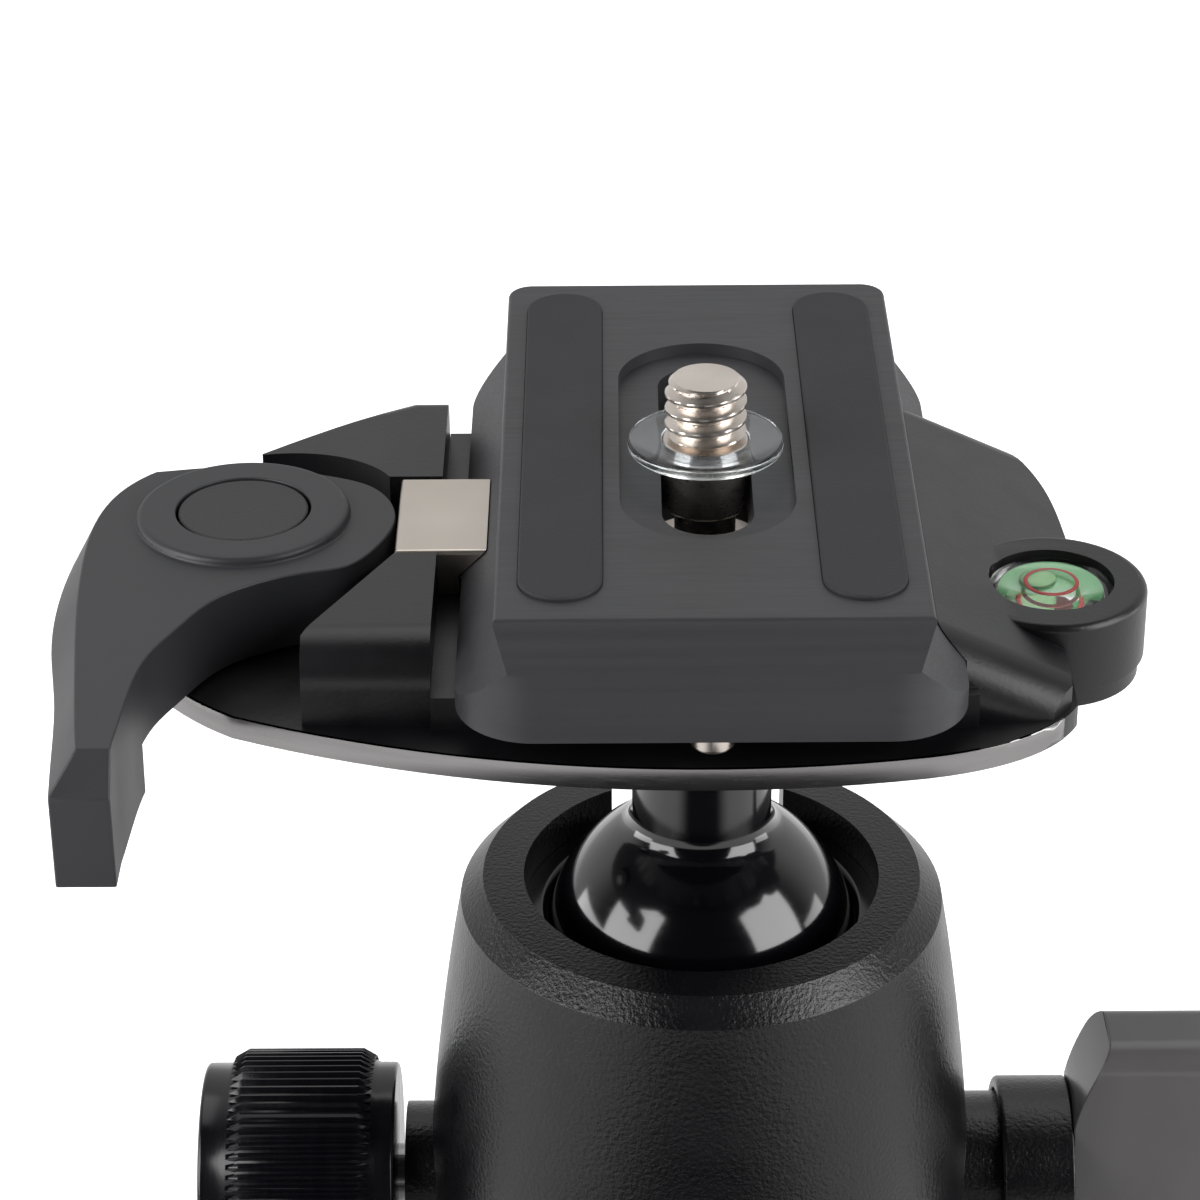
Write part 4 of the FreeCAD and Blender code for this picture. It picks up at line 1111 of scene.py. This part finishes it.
@dataclass
class CameraScrew:
    """The camera screw with a real thread, and its clear washer."""

    y: float = -2.8
    major: float = 3.175
    minor: float = 2.55
    pitch: float = 1.27
    taper: float = 0.6
    around: int = 96
    rows_a_turn: int = 16
    shank: float = 3.4
    shank_low: float = 97.2
    shank_top: float = 102.9
    tip: float = 108.0
    neck: float = 2.4
    head: float = 4.9
    head_low: float = 92.1
    head_top: float = 93.7
    washer_outer: float = 6.05
    washer_inner: float = 3.46
    washer_low: float = 102.1
    washer_top: float = 102.9
    washer_edge: float = 0.25
    chamfer: float = 0.2
    shoulder: float = 0.15

    def _thread(self) -> Object:
        """The threaded end, from the thread's node tree."""
        thread = link_mesh("screw_thread", bpy.data.meshes.new("screw_thread"))
        length = self.tip - self.shank_top
        Repeater.run(thread, Repeater.thread(), Major=self.major * MM, Minor=self.minor * MM,
                     Pitch=self.pitch * MM, Length=length * MM, Taper=self.taper * MM,
                     Around=self.around, Along=int(self.rows_a_turn * length / self.pitch),
                     Material=Finishes.bright_nickel.build())
        thread.data.transform(Matrix.Translation(Vector((0, self.y, self.shank_top)) * MM))
        return thread

    def build(self) -> None:
        """Builds the screw and the washer."""
        low, cut, ease = self.head_low, self.chamfer, self.shoulder
        outline = [(0.0, low), (self.head - cut, low), (self.head, low + cut),
                   (self.head, self.head_top - cut), (self.head - cut, self.head_top),
                   (self.neck, self.head_top), (self.neck, self.shank_low),
                   (self.shank - cut, self.shank_low), (self.shank, self.shank_low + cut),
                   (self.shank, self.shank_top - ease), (self.shank - ease, self.shank_top),
                   (0.0, self.shank_top)]
        shank = from_bmesh("screw_shank", turned(outline, TURNED_STEPS, (0, 0, 1), (0, self.y, 0)))
        place(join("camera_bolt", (self._thread(), shank)), Body.CAMERA_SCREW, Finishes.bright_nickel,
              "camera_screw")
        e = self.washer_edge
        outline = [(self.washer_inner, self.washer_low), (self.washer_outer - e, self.washer_low)]
        outline += arc_points((self.washer_outer - e, self.washer_low + e), e, -90, 0, 4)[1:]
        outline += arc_points((self.washer_outer - e, self.washer_top - e), e, 0, 90, 4)
        outline += [(self.washer_inner, self.washer_top), (self.washer_inner, self.washer_low)]
        ring = turned(outline, 120, (0, 0, 1), (0, self.y, 0))
        bmesh.ops.remove_doubles(ring, verts=ring.verts, dist=WELD)
        place(from_bmesh("clear_ring", ring), Body.WASHER, Finishes.clear, "screw_washer")


# Studio

@dataclass
class Studio:
    """The floor, the light and the camera."""

    camera_place: Point3 = (-7.479, -260.471, 230.650)
    focal_pixels: float = 3713.69
    pitch: float = 28.8723
    yaw: float = -0.17367
    roll: float = -0.4369
    image: float = 1200.0
    sensor: float = 36.0
    floor_half: float = 3000.0
    floor_glow: float = 0.85
    cloth_tone: float = 0.80
    dark_spot: Point3 = (0.0, -150.0, 0.0)
    dark_shape: Point3 = (1.3, 0.6, 1.0)
    dark_reach: Point2 = (60.0, 125.0)
    room_glow: float = 0.22
    front_glow: float = 0.02
    back_glow: float = 0.85
    floor_ramp: Point2 = (0.04, 1.0)
    room_ramp: Point2 = (-0.15, 0.55)
    aim: Point3 = (0.0, 0.0, 70.0)
    low_aim: Point3 = (0.0, 0.0, 30.0)

    def _camera(self) -> None:
        """Sets the camera where the photograph's was."""
        data = bpy.data.cameras.new("camera")
        data.sensor_width = self.sensor
        data.lens = self.sensor * self.focal_pixels / self.image
        data.clip_start = 0.01
        data.clip_end = 20
        tilt, turn, lean = (math.radians(v) for v in (self.pitch, self.yaw, self.roll))
        level = math.cos(tilt)
        ahead = Vector((math.sin(turn) * level, math.cos(turn) * level, -math.sin(tilt)))
        right = Vector((math.cos(turn), -math.sin(turn), 0))
        up = right.cross(ahead)
        right, up = (right * math.cos(lean) + up * math.sin(lean),
                     up * math.cos(lean) - right * math.sin(lean))
        camera = bpy.data.objects.new("camera", data)
        basis = Matrix((right, up, -ahead)).transposed().to_4x4()
        camera.matrix_world = Matrix.Translation(Vector(self.camera_place) * MM) @ basis
        bpy.context.scene.collection.objects.link(camera)
        bpy.context.scene.camera = camera

    @staticmethod
    def _seen(tree: NodeTree) -> NodeSocket:
        """A mask of rays that come from the camera, or through clear pieces."""
        path = tree.nodes.new("ShaderNodeLightPath")
        total = path.outputs["Is Camera Ray"]
        most = tree.nodes.new("ShaderNodeMath")
        most.operation = "MAXIMUM"
        tree.links.new(total, most.inputs[0])
        tree.links.new(path.outputs["Is Transmission Ray"], most.inputs[1])
        return most.outputs[0]

    @staticmethod
    def _span(tree: NodeTree, value: NodeSocket, source: Point2,
              target: Point2) -> NodeSocket:
        """Maps a value smoothly from one range to another."""
        node = tree.nodes.new("ShaderNodeMapRange")
        node.interpolation_type = "SMOOTHSTEP"
        for label, number in zip(("From Min", "From Max", "To Min", "To Max"), (*source, *target)):
            node.inputs[label].default_value = number
        tree.links.new(value, node.inputs["Value"])
        return node.outputs["Result"]

    @staticmethod
    def _blend(tree: NodeTree, share: NodeSocket, low: Amount, high: Amount) -> Amount:
        """Mixes two amounts, each a socket or a number, by a share."""
        node = tree.nodes.new("ShaderNodeMix")
        tree.links.new(share, node.inputs["Factor"])
        for socket, amount in ((node.inputs[2], low), (node.inputs[3], high)):
            if isinstance(amount, float):
                socket.default_value = amount
            else:
                tree.links.new(amount, socket)
        return node.outputs[0]

    def _floor(self) -> None:
        """A wide pale floor that keeps the shadow and reads white."""
        mesh = bpy.data.meshes.new("studio_floor")
        h = self.floor_half * MM
        mesh.from_pydata([(-h, -h, 0), (h, -h, 0), (h, h, 0), (-h, h, 0)], [], [(0, 1, 2, 3)])
        floor = link_mesh("studio_floor", mesh)
        material = bpy.data.materials.new("studio_floor")
        material.use_nodes = True
        tree = material.node_tree
        tree.nodes.clear()
        output = tree.nodes.new("ShaderNodeOutputMaterial")
        both = tree.nodes.new("ShaderNodeAddShader")
        cloth = tree.nodes.new("ShaderNodeBsdfDiffuse")
        glow = tree.nodes.new("ShaderNodeEmission")
        path = tree.nodes.new("ShaderNodeLightPath")
        coords = tree.nodes.new("ShaderNodeTexCoord")
        shape = tree.nodes.new("ShaderNodeMapping")
        shape.vector_type = "POINT"
        shape.inputs["Scale"].default_value = self.dark_shape
        tree.links.new(coords.outputs["Object"], shape.inputs["Vector"])
        offset = tree.nodes.new("ShaderNodeVectorMath")
        offset.operation = "DISTANCE"
        offset.inputs[1].default_value = [v * k * MM for v, k in zip(self.dark_spot, self.dark_shape)]
        tree.links.new(shape.outputs["Vector"], offset.inputs[0])
        near, far = (v * MM for v in self.dark_reach)
        bright = self._span(tree, offset.outputs["Value"], (near, far), self.floor_ramp)
        gloss = path.outputs["Is Glossy Ray"]
        tree.links.new(self._blend(tree, gloss, self.cloth_tone, 0.0), cloth.inputs["Color"])
        shown = self._blend(tree, gloss, 0.0, bright)
        tree.links.new(self._blend(tree, self._seen(tree), shown, self.floor_glow), glow.inputs["Strength"])
        tree.links.new(cloth.outputs[0], both.inputs[0])
        tree.links.new(glow.outputs[0], both.inputs[1])
        tree.links.new(both.outputs[0], output.inputs[0])
        mesh.materials.append(material)

    def _panel(self, name: str, place_at: Point3, aim: Point3, size: Point2, power: float) -> None:
        """A soft rectangular lamp.

        Args:
            name: Name of the lamp.
            place_at: Its place in millimetres.
            aim: The point it faces.
            size: Width and height in millimetres.
            power: Watts.
        """
        data = bpy.data.lights.new(name, "AREA")
        data.shape = "RECTANGLE"
        data.size, data.size_y = size[0] * MM, size[1] * MM
        data.energy = power
        lamp = bpy.data.objects.new(name, data)
        way = Vector(aim) - Vector(place_at)
        lamp.matrix_world = (Matrix.Translation(Vector(place_at) * MM)
                             @ way.to_track_quat("-Z", "Y").to_matrix().to_4x4())
        bpy.context.scene.collection.objects.link(lamp)

    def _world(self) -> None:
        """A room that is white to the camera, bright behind and dark in front as gloss sees it."""
        world = bpy.data.worlds.new("studio_room")
        world.use_nodes = True
        tree = world.node_tree
        tree.nodes.clear()
        output = tree.nodes.new("ShaderNodeOutputWorld")
        sky = tree.nodes.new("ShaderNodeBackground")
        way = tree.nodes.new("ShaderNodeTexCoord")
        parts = tree.nodes.new("ShaderNodeSeparateXYZ")
        path = tree.nodes.new("ShaderNodeLightPath")
        tree.links.new(way.outputs["Generated"], parts.inputs[0])
        behind = self._span(tree, parts.outputs["Y"], self.room_ramp, (self.front_glow, self.back_glow))
        soft = self._blend(tree, path.outputs["Is Glossy Ray"], self.room_glow, behind)
        tree.links.new(self._blend(tree, self._seen(tree), soft, 1.0), sky.inputs["Strength"])
        tree.links.new(sky.outputs[0], output.inputs[0])
        bpy.context.scene.world = world

    def build(self) -> None:
        """Sets the whole studio up."""
        self._camera()
        self._floor()
        self._world()
        for name, spot, aim, size, power in (
                ("soft_left", (-500, -265, 300), self.aim, (440, 480), 3.4),
                ("soft_right", (500, -265, 300), self.aim, (440, 480), 3.4),
                ("low_left", (-560, 80, 40), self.low_aim, (360, 240), 1.0),
                ("low_right", (560, 80, 40), self.low_aim, (240, 240), 0.5),
                ("top", (0, 200, 640), self.aim, (600, 420), 0.8)):
            self._panel(name, spot, aim, size, power)
        bpy.context.scene.view_settings.view_transform = "Standard"


def main() -> None:
    """Builds the whole dressed part."""
    logging.basicConfig(level=logging.INFO, format="%(message)s")
    Studio().build()
    PanBase().build()
    Barrel().build()
    BallUnit().build()
    KnurledKnob(name="drag_grip", node="drag_knob", body=Body.DRAG_KNOB, axis=(-1, 0, 0), height=30.0,
                start=26.2, band_start=29.3, band_end=39.3, end=42.9, radius=10.8, flange=9.6, slope=1.5,
                teeth=72, depth=0.45, bore=2.53, bore_depth=11.3, dish_radius=6.0, dish_depth=0.8).build()
    refined("drag_knob_cap", "drag_grip_disc", CAP_EDGE, Body.DRAG_KNOB, Finishes.knob_black)
    KnurledKnob(name="pan_grip", node="pan_knob", body=Body.PAN_KNOB, axis=(0, -1, 0), height=15.0,
                start=26.2, band_start=27.4, band_end=35.0, end=36.6, radius=7.0, flange=6.1, slope=0.9,
                teeth=44, depth=0.4, bore=2.03, bore_depth=7.8, dish_radius=0.0, dish_depth=0.0).build()
    LockWing().build()
    Platform().build()
    BubbleLevel().build()
    ClampLever().build()
    ReleasePlate().build()
    CameraScrew().build()


if __name__ == "__main__":
    main()
